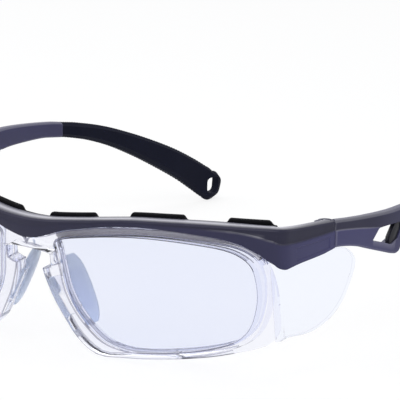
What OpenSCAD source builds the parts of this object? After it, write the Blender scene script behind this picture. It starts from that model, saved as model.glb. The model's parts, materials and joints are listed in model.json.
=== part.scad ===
// Wrap-round prescription safety glasses: clear rims and side shields, a dark brow
// bar with a cushion strip, and folding temples with soft tips.
// X is across the face, Y runs back towards the ears, Z is up.
// The origin is on the floor, midway across and midway from the front to the tips' ends.

/* [Lenses] */
// Width of each lens, edge to edge
lens_w = 54; // [50:0.5:57]
// Height of each lens, edge to edge
lens_h = 33.4; // [31:0.2:38]
// Thickness of each lens
lens_t = 2.2; // [1.8:0.1:2.6]
// Distance between the two lenses across the nose
bridge_w = 17.4; // [15:0.2:20]
// Depth of lens edge held in the rim groove
lens_bite = 0.7; // [0.5:0.05:0.9]

/* [Front frame] */
// Radius that the front wraps to, at the front face of the rims
wrap_r = 126; // [115:1:140]
// Backward lean of the front, in degrees
lean = 9; // [6:0.5:11]
// Thickness of the rims, front to back
rim_t = 4.2; // [3.8:0.1:5]
// Width of the rim under a lens, from the lens edge
rim_w = 1.2; // [0.9:0.05:1.6]
// Width of the rim beside the nose, from the lens edge
nasal_w = 4.2; // [3.6:0.1:4.6]
// Width of the rim at the outer side, from the lens edge
outer_w = 3.1; // [2.8:0.1:3.6]
// Thickness of the rim lip in front of a lens
front_lip = 0.9; // [0.7:0.1:1.1]
// Thickness of the outer margin that laps over a side shield
margin_t = 1.2; // [1:0.1:1.5]
// Height of the bridge between the rims, at the middle
bridge_h = 6.6; // [5.5:0.1:8]

/* [Brow bar] */
// How far the bar stands out in front of the rims
bar_proud = 1; // [0.6:0.1:1.4]
// Thickness of the bar's front wall
bar_wall = 1.8; // [1.5:0.1:2.1]
// Thickness of the bar's top shelf
shelf_t = 1.4; // [1.2:0.1:1.6]
// Depth of the top shelf, front to back
shelf_d = 5.2; // [4.8:0.1:5.6]
// Height of the step along the crease between the upper and lower facets
crease_step = 0.45; // [0.2:0.05:0.7]
// Distance from the outer lens edge to the start of the bar's corner
corner_gap = 4; // [3.8:0.1:5]
// Radius of the bar's corner
corner_r = 5.5; // [4.8:0.1:6.5]
// Angle between each end piece and straight back, in degrees
flare = 8; // [5:0.5:10]
// Length of each end piece, from the corner to the hinge
end_len = 16.2; // [15:0.2:19]
// Thickness of each end piece at the hinge
end_t = 3.6; // [3.3:0.1:4]

/* [Brow cushion] */
// Thickness of the cushion strip
cushion_t = 2; // [1.6:0.1:3]
// Height of the cushion strip below the shelf's top
cushion_h = 4.4; // [3.4:0.1:5]
// Height of the raised blocks above the shelf
block_h = 0.9; // [0.6:0.1:2]
// Length of each raised block
block_len = 15.6; // [12:0.2:17]
// Gap between two raised blocks
block_gap = 9.8; // [6:0.2:11]

/* [Side shields] */
// Thickness of the side shields
shield_t = 1.4; // [1.2:0.1:1.6]
// Length of each shield behind the hinge
shield_back = 10.4; // [7:0.2:11]
// Depth of each shield's lower edge below the lean line, at the corner
shield_drop = 20.8; // [18:0.2:22]
// How far each shield's lower edge curls in
shield_curl = 0.8; // [0.4:0.1:1.6]

/* [Nose pads] */
// Height of each nose pad
pad_h = 20; // [16:0.5:21]
// Width of each nose pad, front to back
pad_w = 6.8; // [6:0.2:8]
// Thickness of each nose pad
pad_t = 3.2; // [2.8:0.1:4]
// Thickness of the fin inside each pad
fin_t = 1.3; // [1:0.1:1.5]
// Height of the fin inside each pad
fin_h = 11; // [8:0.5:12]

/* [Hinges] */
// Radius of the hinge barrels
barrel_r = 2.1; // [1.9:0.05:2.4]
// Diameter of the hinge screws
screw_d = 1.4; // [1.2:0.05:1.6]
// Diameter of the hinge screws' heads
head_d = 2.5; // [2.2:0.1:2.8]
// Thickness of the hinge screws' heads
head_t = 0.7; // [0.5:0.1:0.9]
// Diameter of the threaded brass inserts
insert_d = 2.4; // [2.2:0.1:2.7]
// Height of the temples' middle barrels
knuckle_h = 2.3; // [2:0.1:2.6]

/* [Temples] */
// Height of each temple at the hinge
temple_h = 7.2; // [6.8:0.1:7.6]
// Thickness of each temple at the hinge
temple_t = 3.6; // [3.3:0.1:4]
// Distance straight back from the hinge to the end of the tip
temple_reach = 130.5; // [122:0.5:138]
// How far each temple bows out past the hinge
bow_out = 2; // [1:0.2:3]
// How far each tip bows in from the widest place
bow_in = 11; // [8:0.5:14]
// Length of the open window, from its front edge to the black inlay
window_len = 8.2; // [6:0.1:8.6]
// Height of the window at its front edge
window_h = 3.6; // [3.2:0.1:4]
// Length of the black inlay behind the window
inlay_len = 4.8; // [4:0.1:5.2]
// Thickness of the black inlay
inlay_t = 1.4; // [1:0.1:1.8]
// How deep the inlay lies below the temple's outer face
inlay_deep = 0.3; // [0.1:0.05:0.6]

/* [Temple tips] */
// Thickness of each soft tip
tip_t = 4.4; // [4:0.1:5]
// Thickness of each soft tip at its end
tip_end_t = 2.8; // [2.6:0.1:3.4]
// Distance from the hinge to the start of the tip
tip_start = 59.4; // [58:0.2:64]
// Thickness of the stiff tongue inside each tip
tongue_t = 1.6; // [1.2:0.1:2]
// Length of the lanyard slot, along the tip
slot_len = 5.6; // [5.2:0.1:6]
// Height of the lanyard slot
slot_h = 5.2; // [4.6:0.1:5.4]
// Radius of the lanyard slot's corners
slot_r = 1.5; // [1:0.1:2]

/* [Fits] */
// Gap left around seated pieces
fit = 0.05; // [0.03:0.01:0.1]
// Gap left between pieces that swing past each other
swing_gap = 0.35; // [0.25:0.05:0.5]
// Radial gap between a hinge screw and its bores
bore_gap = 0.05; // [0.02:0.01:0.08]

/* [Bar screws] */
// Diameter of the screws that hold the bar to the rims
bar_screw_d = 1.2; // [1:0.1:1.4]
// Diameter of those screws' heads
bar_head_d = 2.2; // [2:0.1:2.4]
// Thickness of those screws' heads
bar_head_t = 0.8; // [0.6:0.1:1]

/* [Hidden] */
$fn = 48;
e = 0.01;
far = 60;

// Colours
c_clear = [0.90, 0.93, 0.98, 0.35];
c_lens = [0.86, 0.90, 0.98, 0.35];
c_navy = [0.22, 0.22, 0.32];
c_black = [0.07, 0.08, 0.11];
c_pad = [0.72, 0.77, 0.86, 0.7];
c_steel = [0.75, 0.76, 0.78];
c_brass = [0.80, 0.66, 0.36];

// Curves through points: a value looked up along a list of [position, value] pairs,
// smoothed between them, and a smooth closed outline through corner points.
function seek(t, q, i = 0) = i >= len(t) - 2 || q < t[i + 1][0] ? i : seek(t, q, i + 1);
function slope(t, i) = i <= 0 || i >= len(t) - 1 ? 0
    : (t[i + 1][1] - t[i - 1][1]) / (t[i + 1][0] - t[i - 1][0]);
function along(t, q) =
    let (p = min(max(q, t[0][0]), t[len(t) - 1][0]), i = seek(t, p),
        w = t[i + 1][0] - t[i][0], u = (p - t[i][0]) / w)
    t[i][1] * (1 + 2 * u) * pow(1 - u, 2) + t[i + 1][1] * u * u * (3 - 2 * u)
    + slope(t, i) * w * u * pow(1 - u, 2) - slope(t, i + 1) * w * u * u * (1 - u);
function ease(u) = let (c = min(max(u, 0), 1)) c * c * (3 - 2 * c);
function bend(a, b, c, d, u) = 0.5 * (2 * b + (c - a) * u
    + (2 * a - 5 * b + 4 * c - d) * u * u + (3 * b - a - 3 * c + d) * u * u * u);
function closed_curve(p, steps) = let (n = len(p)) [for (i = [0:n - 1], k = [0:steps - 1])
    bend(p[(i + n - 1) % n], p[i], p[(i + 1) % n], p[(i + 2) % n], k / steps)];
function left_of(v) = let (l = norm(v)) [v[1], -v[0]] / l;
function widen(p, w) = let (n = len(p)) [for (i = [0:n - 1])
    p[i] + w[i] * left_of(p[(i + 1) % n] - p[(i + n - 1) % n])];

// A closed solid between two grids of points, and one through a row of rings
module slab(outer, inner) {
    m = len(outer);
    n = len(outer[0]);
    points = concat([for (r = outer) each r], [for (r = inner) each r]);
    function o(i, j) = i * n + j;
    function k(i, j) = m * n + i * n + j;
    function quad(a, b, c, d) = [[a, c, b], [a, d, c]];
    polyhedron(points, concat(
        [for (i = [0:m - 2], j = [0:n - 2]) each
            quad(o(i, j), o(i + 1, j), o(i + 1, j + 1), o(i, j + 1))],
        [for (i = [0:m - 2], j = [0:n - 2]) each
            quad(k(i, j), k(i, j + 1), k(i + 1, j + 1), k(i + 1, j))],
        [for (i = [0:m - 2]) each quad(o(i, 0), k(i, 0), k(i + 1, 0), o(i + 1, 0))],
        [for (i = [0:m - 2]) each
            quad(o(i, n - 1), o(i + 1, n - 1), k(i + 1, n - 1), k(i, n - 1))],
        [for (j = [0:n - 2]) each quad(o(0, j), o(0, j + 1), k(0, j + 1), k(0, j))],
        [for (j = [0:n - 2]) each
            quad(o(m - 1, j), k(m - 1, j), k(m - 1, j + 1), o(m - 1, j + 1))]));
}
module loft(rings) {
    m = len(rings);
    n = len(rings[0]);
    polyhedron([for (r = rings) each r], concat(
        [for (j = [1:n - 2]) [0, j + 1, j]],
        [for (j = [1:n - 2]) [(m - 1) * n, (m - 1) * n + j, (m - 1) * n + j + 1]],
        [for (i = [0:m - 2], j = [0:n - 1]) each let (a = i * n + j, b = i * n + (j + 1) % n)
            [[a, b + n, a + n], [a, b, b + n]]]));
}

// Leaning front: its own frame has the wrap's axis along Z, at Y = wrap_r
lens_top = 4.6;
lens_low = lens_top - lens_h;
function wrap_y(x, r = wrap_r) = wrap_r - sqrt(r * r - x * x);
module leaning() translate([0, 0, lean_z]) rotate([lean, 0, 0]) children();
module wrapped(front, back) intersection() {
    children();
    translate([0, wrap_r, -far]) difference() {
        cylinder(r = wrap_r - front, h = 2 * far, $fn = 180);
        translate([0, 0, -1]) cylinder(r = wrap_r - back, h = 2 * far + 2, $fn = 180);
    }
}
module cut_out(points) translate([0, wrap_r - 40, 0]) rotate([90, 0, 0])
    linear_extrude(wrap_r) polygon(points);

// Lens outline, from the upper nose corner round under the lens and back over the
// top: [share of the width, share of the height, rim width there]
lens_shape = [
    [0.006, 0.780, nasal_w * 0.92], [0.017, 0.650, nasal_w * 1.25], [0.036, 0.460, nasal_w],
    [0.083, 0.297, nasal_w * 0.89], [0.147, 0.165, nasal_w], [0.222, 0.060, nasal_w * 0.9],
    [0.325, 0.006, rim_w * 1.4], [0.445, 0.000, rim_w * 0.93], [0.620, 0.031, rim_w * 1.12],
    [0.760, 0.070, rim_w * 1.43], [0.880, 0.135, (rim_w + outer_w) * 0.6],
    [0.950, 0.250, outer_w * 1.85], [0.985, 0.420, outer_w * 1.38],
    [0.995, 0.580, outer_w * 1.15], [0.980, 0.760, outer_w],
    [0.935, 0.860, outer_w], [0.860, 0.925, rim_w], [0.740, 0.965, rim_w],
    [0.580, 0.994, rim_w], [0.440, 1.000, rim_w], [0.300, 0.985, rim_w],
    [0.150, 0.950, rim_w], [0.050, 0.915, rim_w], [0.000, 0.865, rim_w]];
curve_steps = 3;
lens_line = closed_curve([for (p = lens_shape)
    [bridge_w / 2 + p[0] * lens_w, lens_low + p[1] * lens_h]], curve_steps);
rim_widths = closed_curve([for (p = lens_shape) p[2]], curve_steps);
rim_line = widen(lens_line, rim_widths);
// Height of the lean line: the rims' lowest point then rests on the floor
lean_z = -min([for (p = rim_line) p[1] * cos(lean) + wrap_y(p[0]) * sin(lean)]);
sight_line = widen(lens_line, [for (p = lens_line) -lens_bite]);
groove_line = widen(lens_line, [for (p = lens_line) fit]);
// The rim keeps its full thickness to here, and its margin runs on to rim_line
rim_wall = 1;
wall_line = widen(lens_line, [for (w = rim_widths) min(w, rim_wall)]);

// Brow bar outline, above the lean line: [place, height]. Place 0 is the middle,
// 1 the start of the corner, side_q its end and 2 the hinge.
side_q = 1.2;
bar_low = [[0, 0.3], [0.03, 0.65], [0.065, 1.15], [0.1, 1.8], [0.14, 2.75], [0.19, 4.05],
    [0.27, 5.3], [0.38, 6.9], [0.48, 7.7], [0.58, 8], [0.67, 7.8], [0.76, 7.3], [0.84, 6.55],
    [0.90, 5.3], [0.95, 3.3], [1, 0.6], [1.1, -0.7], [1.2, -0.35], [1.36, 0.15], [1.58, 0.6],
    [1.79, 1.1], [2, 1.8]];
bar_top = [[0, 5.9], [0.1, 6.2], [0.19, 6.9], [0.38, 8.6], [0.48, 9.4], [0.58, 9.8],
    [0.76, 10.2], [0.93, 10.1], [1.1, 9.9], [1.36, 9.35], [1.7, 9], [2, 8.8]];
bar_crease = [[0, 0.55], [0.6, 0.55], [0.76, 0.56], [0.86, 0.64], [0.93, 0.66], [1.1, 0.61],
    [1.36, 0.6], [1.7, 0.62], [2, 0.64]];
half_w = bridge_w / 2 + lens_w + corner_gap;
bar_r = wrap_r + bar_proud;
corner_a = asin(half_w / bar_r);
corner_x = half_w - corner_r * sin(corner_a);
corner_y = wrap_r - (bar_r - corner_r) * cos(corner_a);
side_a = 90 - flare;
// Place, height above the lean line and distance inwards, to a point
function lean_share(q) = 1 - ease(q - 1);
function front_plan(q, in) = let (a = asin(q * half_w / bar_r))
    [(bar_r - in) * sin(a), wrap_r - (bar_r - in) * cos(a)];
function bar_plan(q, in) = q <= 1 ? front_plan(q, in)
    : let (b = corner_a + (side_a - corner_a) * min((q - 1) / (side_q - 1), 1),
        d = max(q - side_q, 0) / (2 - side_q) * end_len)
    [corner_x + (corner_r - in) * sin(b) + d * sin(flare),
        corner_y - (corner_r - in) * cos(b) + d * cos(flare)];
function raise(p, share, z) = [p[0], p[1] / cos(lean) - share * tan(lean) * z, lean_z + z];
function bar_point(q, in, z) = raise(bar_plan(q, in), lean_share(q), z);
function mirrored(grid) = concat([for (i = [len(grid) - 1:-1:1])
    [for (p = grid[i]) [-p[0], p[1], p[2]]]], grid);
function steps(a, b, n) = [for (i = [0:n - 1]) a + (b - a) * i / n];
// The same height in the leaning front's own frame, at x
function front_z(x, z) = (z - wrap_y(x) * sin(lean)) / cos(lean);
function bar_z(table, x) = front_z(x, along(table, x / half_w));

// Hinge places, on the left side
hinge_out = bar_point(2, 0, 0);
hinge_y = hinge_out[1];
pin_x = hinge_out[0] - end_t + 0.2;
hinge_low = along(bar_low, 2);
hinge_mid = lean_z + hinge_low + temple_h / 2;
ear_gap = 0.12;
ear_inset = 0.3;
ear_h = (temple_h - knuckle_h) / 2 - ear_gap - ear_inset;
module at_hinge(z) translate([pin_x, hinge_y, hinge_mid + z]) children();

// Temple outline: [share of the reach, top, share of the reach, bottom, thickness
// share, tip or arm]. Heights are from the floor when the hinge's middle is at base_z.
base_z = 35.8;
top_line = [[0, 39.2], [0.06, 38.6], [0.11, 38.15], [0.19, 37.8], [0.26, 38.1],
    [0.33, 37.6], [0.42, 36.45], [0.46, 35.6], [0.52, 34.15], [0.60, 31.6], [0.68, 28.05],
    [0.75, 24.5], [0.83, 19.95], [0.905, 14.9], [0.957, 10.8], [0.98, 8.6]];
low_line = [[0, 32.2], [0.04, 31.7], [0.08, 30.6], [0.12, 28.9], [0.17, 26.85], [0.195, 25.9],
    [0.2125, 25.8], [0.222, 27.6], [0.235, 31.2], [0.25, 31.65], [0.28, 32], [0.33, 32.1], [0.39, 32],
    [0.43, 31.4], [0.47, 30.6], [0.54, 28.4], [0.62, 24.8], [0.70, 20], [0.775, 14.8],
    [0.85, 9.1], [0.90, 4.5], [0.93, 1.7], [0.955, 0]];
function settle(z, u) = z + (hinge_mid - base_z) * (1 - ease((u - 0.3) / 0.6));
function temple_x(u) = let (wide = 0.33) hinge_out[0] + (u < wide
    ? bow_out * (1 - pow(1 - u / wide, 2))
    : bow_out - bow_in * pow((u - wide) / (1 - wide), 1.6));
function temple_pt(u, z, in) = [temple_x(u) - in, hinge_y + u * temple_reach, settle(z, u)];
// A station runs from the top line to the bottom line, leaning with the bend
function lag(u) = 0.012 * ease((u - 0.55) / 0.3);
function top_pt(u) = temple_pt(u, along(top_line, u), 0);
function low_pt(u) = temple_pt(u - lag(u), along(low_line, u - lag(u)), 0);
// Ring of an arm or tip at share u: t is its thickness, r its edge rounding,
// inset draws it in all round and step sets back the upper outer band
function ring(u, t, r, inset = 0, step = 0, top = 0.64) =
    let (a = low_pt(u), b = top_pt(u), v = b - a, h = norm(v), d = v / h,
        lo = a + d * inset, hi = b - d * inset, w = h - 2 * inset,
        x0 = -inset, x1 = -t + inset, across = [1, 0, 0])
    [lo + across * (x0 - r), lo + across * x0 + d * r, lo + across * x0 + d * (w * top - 0.2),
        lo + across * (x0 - step) + d * (w * top + 0.2), hi + across * (x0 - step) - d * r,
        hi + across * (x0 - step - r), hi + across * (x1 + r), hi + across * x1 - d * r,
        lo + across * x1 + d * r, lo + across * (x1 + r)];
arm_end_u = tip_start / temple_reach;
tip_end_u = 0.967;
tongue_end_u = 0.84;
function arm_t(u) = temple_t - 0.7 * ease(u / arm_end_u);

module front_frame() color(c_clear) difference() {
    union() {
        leaning() difference() {
            wrapped(0, rim_t) cut_out(front_outline());
            wrapped(margin_t, rim_t + 1) shield_rebate();
            wrapped(-1, bar_wall - bar_proud + fit) cut_out(bar_window());
            for (side = [0, 1]) mirror([side, 0, 0]) {
                cut_out(sight_line);
                wrapped(front_lip, front_lip + lens_t + 2 * fit) cut_out(groove_line);
            }
        }
        for (side = [0, 1]) mirror([side, 0, 0]) nose_fin(fin_t, 0);
    }
    bar_screw_holes(bar_screw_d + 2 * fit, bar_head_d + 4 * fit, fit);
}
// One line round both rims: bridge underside, nose side, bottom, outer side, top rail
rim_first = curve_steps;
rim_last = 15 * curve_steps;
rail_gap = 0.1;
// The lean lifts the back of the rail and drops the back of the bar's lower edge
rail_rise = rim_t * tan(lean);
edge_drop = (bar_wall - bar_proud) * tan(lean) + 0.08;
function front_half() =
    let (under = front_z(0, along(bar_top, 0)) - shelf_t - rail_gap - rail_rise - bridge_h,
        outer_x = rim_line[rim_last][0], count = 16)
    concat([[bridge_w * 0.34, under + 0.2], [bridge_w * 0.42, under - 0.8],
            [bridge_w * 0.42, under - 4.2], [bridge_w * 0.33, under - 4.8]],
        [for (i = [rim_first:rim_last]) rim_line[i]],
        [for (i = [0:count - 1]) let (x = outer_x * (1 - i / count))
            [x, bar_z(bar_top, x) - shelf_t - rail_gap - rail_rise]]);
function front_outline() = let (half = front_half(), n = len(half),
        under = front_z(0, along(bar_top, 0)) - shelf_t - rail_gap - rail_rise - bridge_h)
    concat([[0, under]], half, [[0, under + bridge_h]],
        [for (i = [n - 1:-1:0]) [-half[i][0], half[i][1]]]);
// Lower edge of the room cut for the bar, clear of both the bar's front and its back
function edge_z(x) = front_z(x, min([for (k = [1, bar_r / (bar_r - bar_wall)])
    along(bar_low, k * x / half_w)])) - fit - edge_drop;
function bar_window() = let (n = 24, reach = half_w + 1.5)
    concat([for (i = [-n:n]) let (x = reach * i / n) [x, edge_z(abs(x))]],
        [[reach, far], [-reach, far]]);
module shield_rebate() difference() {
    translate([0, wrap_r - 40, 0]) rotate([90, 0, 0]) linear_extrude(wrap_r) for (s = [-1, 1])
        translate([s * (bridge_w / 2 + 0.5 * lens_w + far / 2), -far / 2 + 1])
            square([far, far], center = true);
    for (side = [0, 1]) mirror([side, 0, 0]) cut_out(wall_line);
}

module brow_bar() color(c_navy) difference() {
    union() {
        slab(mirrored(bar_skin(false)), mirrored(bar_skin(true)));
        for (side = [0, 1]) mirror([side, 0, 0]) hinge_ears();
    }
    for (side = [0, 1]) mirror([side, 0, 0]) {
        at_hinge(-knuckle_h / 2 - ear_gap)
            cylinder(r = barrel_r + swing_gap, h = knuckle_h + 2 * ear_gap);
        at_hinge(-temple_h) cylinder(d = screw_d + 2 * bore_gap, h = 2 * temple_h);
        at_hinge(head_seat) cylinder(d = head_d + 2 * fit, h = temple_h);
        at_hinge(-temple_h) cylinder(d = insert_d + 2 * fit, h = temple_h - insert_top);
    }
    bar_screw_holes(bar_screw_d + 2 * fit, bar_head_d, fit);
}
// Section of the bar at place q, from the lower edge up the face and back over the top
function wall_at(q) = bar_wall + (end_t - bar_wall) * ease((q - 1.5) / 0.3);
corner_d = min(shelf_d, corner_r - 1.2);
function depth_at(q) = q < 1 ? shelf_d + (corner_d - shelf_d) * ease((q - 0.86) / 0.14)
    : corner_d + (end_t - corner_d) * ease((q - 1) / 0.5);
function bar_ring(q, inner) =
    let (lo = along(bar_low, q), hi = along(bar_top, q), cr = lo + (hi - lo) * along(bar_crease, q),
        back = 0.25 * crease_step + 0.75 * crease_step * ease((q - 0.6) / 0.3),
        w = wall_at(q), d = depth_at(q), solid = ease((q - 1.4) / 0.3), s = hi - shelf_t)
    inner ? [bar_point(q, w, lo), bar_point(q, w, min(cr, s - 0.4 - 0.6 * solid)),
            bar_point(q, w, min(cr + 0.3, s - 0.2 - 0.7 * solid)),
            bar_point(q, w, s - 0.1 - 0.3 * solid),
            bar_point(q, w + 0.02 * (d - w), s), bar_point(q, d, s + 0.15 + 0.3 * solid)]
        : [bar_point(q, 0.1, lo), bar_point(q, 0, cr - 0.25), bar_point(q, back, cr + 0.25),
            bar_point(q, 0.15, hi - 0.45), bar_point(q, 0.6, hi), bar_point(q, d, hi)];
bar_places = concat(steps(0, 1, 20), steps(1, side_q, 5), steps(side_q, 2, 7), [2]);
function bar_skin(inner) = [for (q = bar_places) bar_ring(q, inner)];

// Hinge: two ears on the end piece, one barrel on the temple between them
head_seat = knuckle_h / 2 + ear_gap + ear_h - head_t;
insert_top = knuckle_h / 2 + ear_gap;
web = 4.5;
module barrel(h, back) {
    cylinder(r = barrel_r, h = h);
    linear_extrude(h) polygon([[-0.9 * barrel_r, back * 0.3], [-0.9 * barrel_r, back * 1.4],
        [-0.3, back * web], [0.9, back * web], [0.9, back * 0.3]]);
}
module hinge_ears() for (z = [knuckle_h / 2 + ear_gap, -knuckle_h / 2 - ear_gap - ear_h])
    at_hinge(z) barrel(ear_h, -1);
module hinge_screw() color(c_steel) at_hinge(0) difference() {
    union() {
        translate([0, 0, -insert_top - ear_h + 0.2])
            cylinder(d = screw_d, h = insert_top + ear_h - 0.2 + head_seat + 2 * fit);
        translate([0, 0, head_seat + fit]) cylinder(d = head_d, h = head_t - fit - 0.1);
    }
    translate([-head_d, -0.2, head_seat + head_t - 0.4]) cube([2 * head_d, 0.4, 1]);
}
module hinge_insert() color(c_brass) at_hinge(-insert_top - ear_h) difference() {
    cylinder(d = insert_d, h = ear_h - fit);
    translate([0, 0, -1]) cylinder(d = screw_d + 2 * fit, h = ear_h + 2);
}

// Four small screws from behind hold the bar to the rims
screw_spots = [[bridge_w * 0.27, 0.5], [half_w - 3.6, 0.5]];
function spot_z(x, share) = let (lo = bar_z(bar_low, x), hi = bar_z(bar_top, x) - shelf_t)
    lo + (hi - lo) * share;
module at_bar_screws() leaning() for (side = [-1, 1], s = screw_spots)
    let (x = s[0], a = asin(x / wrap_r)) translate([0, wrap_r, spot_z(x, s[1])])
    rotate([0, 0, side * a]) translate([0, -wrap_r, 0]) rotate([90, 0, 0]) children();
screw_tip = 0.25;
module bar_screw_holes(d, head, gap) at_bar_screws() {
    translate([0, 0, -rim_t - 1]) cylinder(d = d, h = rim_t + 1 + screw_tip + gap);
    translate([0, 0, -rim_t - 1]) cylinder(d = head, h = bar_head_t + 1 + gap);
}
module bar_screws() color(c_steel) at_bar_screws() difference() {
    union() {
        translate([0, 0, -rim_t + bar_head_t - e]) cylinder(d = bar_screw_d,
            h = rim_t - bar_head_t + screw_tip);
        translate([0, 0, -rim_t + 0.1]) cylinder(d = bar_head_d, h = bar_head_t - 0.1);
    }
    translate([0, 0, -rim_t]) cylinder(d = 0.9, h = 0.5, $fn = 6);
}

// Cushion strip behind the shelf, with raised blocks: [start, end] along the front
cushion_end = half_w + 0.9;
block_ends = [for (i = [0:2]) let (a = block_gap / 2 + i * (block_len + block_gap))
    [a, min(a + block_len, cushion_end - 0.8)]];
cushion_chamfer = 0.6;
function cushion_xs() = concat([0, block_gap / 4], [for (b = block_ends) each [b[0],
    b[0] + cushion_chamfer, (b[0] * 2 + b[1]) / 3, (b[0] + 2 * b[1]) / 3,
    b[1] - cushion_chamfer, b[1]]], [cushion_end]);
function raised(x) = max([for (b = block_ends)
    min(max(min(x - b[0], b[1] - x) / cushion_chamfer, 0), 1)]);
function cushion_ring(x, inner) =
    let (q = x / half_w, hi = along(bar_top, q), top = hi - 0.4 + (block_h + 0.4) * raised(x),
        low = hi - cushion_h, a = max(shelf_d, bar_proud + rim_t) + 2 * fit, b = a + cushion_t)
    [for (p = inner ? [[b - 0.3, low], [b, low + 0.5], [b, top - 0.4], [b - 0.5, top]]
        : [[a, low], [a, low + 0.5], [a, top - 0.4], [a + 0.3, top]])
        raise(front_plan(q, p[0]), 1, p[1])];
module brow_cushion() color(c_black) slab(
    mirrored([for (x = cushion_xs()) cushion_ring(x, false)]),
    mirrored([for (x = cushion_xs()) cushion_ring(x, true)]));

module lens() color(c_lens) leaning() wrapped(front_lip + fit, front_lip + fit + lens_t)
    cut_out(lens_line);

// Side shields: [place, height above the lean line] of the lower edge, as a share of
// shield_drop, and of the upper edge. They start under the rims' margin.
shield_in = bar_proud + margin_t + fit;
lap_gap = 0.15;
shield_start = (max([for (p = wall_line) p[0]]) + lap_gap) * bar_r / (bar_r - shield_in - shield_t)
    / half_w;
shield_end = 2 + shield_back / end_len * (2 - side_q);
shield_low = [[0.93, -1.045], [1, -1.005], [1.1, -0.98], [1.2, -0.97], [1.6, -0.98],
    [1.85, -0.95], [2.1, -0.86], [2.3, -0.68], [2.42, -0.47], [2.46, -0.37]];
shield_top = [[0.95, 3.5], [1, 2.2], [1.1, 1.6], [1.3, 1.6], [1.5, 1], [1.62, 0.1],
    [1.8, 0.5], [2, 1.1], [2.15, 0.9], [2.3, 0.2], [2.42, -1.9], [2.46, -3.4]];
shield_rows = 7;
function shield_q(q) = q <= 2 ? q : 2 + (q - 2) * (2.46 - 2) / (shield_end - 2);
function shield_point(q, v, in) =
    let (lo = along(shield_low, shield_q(q)) * shield_drop,
        hi = along(shield_top, shield_q(q)), z = lo + (hi - lo) * v,
        curl = shield_curl * pow(1 - v, 2) * ease((q - 0.95) / 0.3))
    bar_point(q, in + curl, z);
shield_places = concat(steps(shield_start, 1, 2), steps(1, side_q, 5), steps(side_q, 2, 5),
    steps(2, shield_end, 6), [shield_end]);
module side_shield() color(c_clear) slab(
    [for (q = shield_places) [for (k = [0:shield_rows]) shield_point(q, k / shield_rows, shield_in)]],
    [for (q = shield_places) [for (k = [0:shield_rows])
        shield_point(q, k / shield_rows, shield_in + shield_t)]]);

// Nose pads on the rims' fins: directions down the pad and back along it
pad_mid = [bridge_w / 2 + 1.1, rim_t + 7.3, lean_z - 14.2];
pad_splay = 24;
pad_pitch = 11;
pad_tilt = 24;
module at_pad() translate(pad_mid) rotate([pad_pitch, -pad_tilt, -pad_splay]) children();
pad_rows = 12;
pad_sides = 16;
pad_power = 2.6;
function pad_ring(v) = let (h = pad_h * (v - 0.5), s = pow(1 - pow(abs(2 * v - 1), pad_power),
        1 / pad_power))
    [for (k = [0:pad_sides - 1]) let (a = -360 * k / pad_sides)
        [pad_t / 2 * s * sign(cos(a)) * pow(abs(cos(a)), 0.9),
            pad_w / 2 * s * sign(sin(a)) * pow(abs(sin(a)), 0.8), h]];
module nose_pad() color(c_pad) difference() {
    at_pad() loft([for (i = [0:pad_rows]) pad_ring(0.02 + 0.96 * (1 - cos(180 * i / pad_rows)) / 2)]);
    nose_fin(fin_t + 2 * fit, fit);
}
fin_reach = 7.6;
module nose_fin(t, gap) at_pad() translate([-t / 2, -fin_reach, -fin_h / 2 - gap])
    cube([t, fin_reach + pad_w / 2 - 1.6 + gap, fin_h + 2 * gap]);

// Temples
window_y = hinge_y + 15.5;
window_z = hinge_mid - 5.2;
window_lean = 2.9;
window_sag = 1.9;
window_end = window_len + inlay_len;
module seen_from_side() translate([0, window_y, window_z]) rotate([90, 0, 90])
    linear_extrude(3 * far) children();
module window_outline(g) polygon([[g, 0.6 + g], [0.3 * window_end, g - 0.3],
    [0.66 * window_end, g - window_sag], [0.87 * window_end, g - 0.9],
    [window_end - g, 1.8], [window_end - g - 0.3, window_h - g], [window_lean + g, window_h - g]]);
module inlay_side() polygon([[window_len - window_lean, -far], [window_len - 0.1, 0],
    [window_len + window_lean - 0.4, window_h], [window_len + window_lean, far], [far, far],
    [far, -far]]);
arm_us = concat(steps(0, 0.2, 10), steps(0.2, 0.25, 10), steps(0.25, arm_end_u, 8), [arm_end_u]);
butt_gap = 0.15;
module temple_arm() color(c_navy) difference() {
    union() {
        intersection() {
            loft([for (u = arm_us) ring(u, arm_t(u), 0.6, 0, crease_step
                * (1 - 0.6 * ease((u - 0.08) / 0.1)))]);
            translate([0, hinge_y + butt_gap, 0]) cube([2 * far, 3 * far, far]);
        }
        tongue(tongue_t, 0);
        at_hinge(-knuckle_h / 2) barrel(knuckle_h, 1);
    }
    seen_from_side() window_outline(0);
    for (z = [knuckle_h / 2, -temple_h]) at_hinge(z)
        cylinder(r = barrel_r + swing_gap, h = temple_h - knuckle_h / 2);
    at_hinge(-temple_h) cylinder(d = screw_d + 2 * bore_gap, h = 2 * temple_h);
}
tongue_us = concat(steps(arm_end_u - 0.01, tongue_end_u, 7), [tongue_end_u]);
module tongue(t, gap) loft([for (u = tongue_us) let (side = (tip_t - t) / 2 - (tip_t - arm_t(1)) / 2)
    [for (p = ring(u, t + 2 * gap, 0.3, 0)) tongue_point(p, u, side - gap, 1.4 - gap)]]);
function tongue_point(p, u, side, edge) = let (a = low_pt(u), b = top_pt(u), m = (a + b) / 2,
        h = norm(b - a), f = (h - 2 * edge) / h)
    [p[0] - side, m[1] + (p[1] - m[1]) * f, m[2] + (p[2] - m[2]) * f];
module temple_inlay() color(c_black) intersection() {
    loft([for (u = arm_us) [for (p = [[0, inlay_deep], [far, inlay_deep],
        [far, inlay_deep + inlay_t], [0, inlay_deep + inlay_t]]) temple_pt(u, p[0], p[1])]]);
    seen_from_side() window_outline(fit);
    seen_from_side() inlay_side();
}
tip_us = concat(steps(arm_end_u, 0.9, 15), steps(0.9, tip_end_u, 3), [tip_end_u]);
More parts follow.
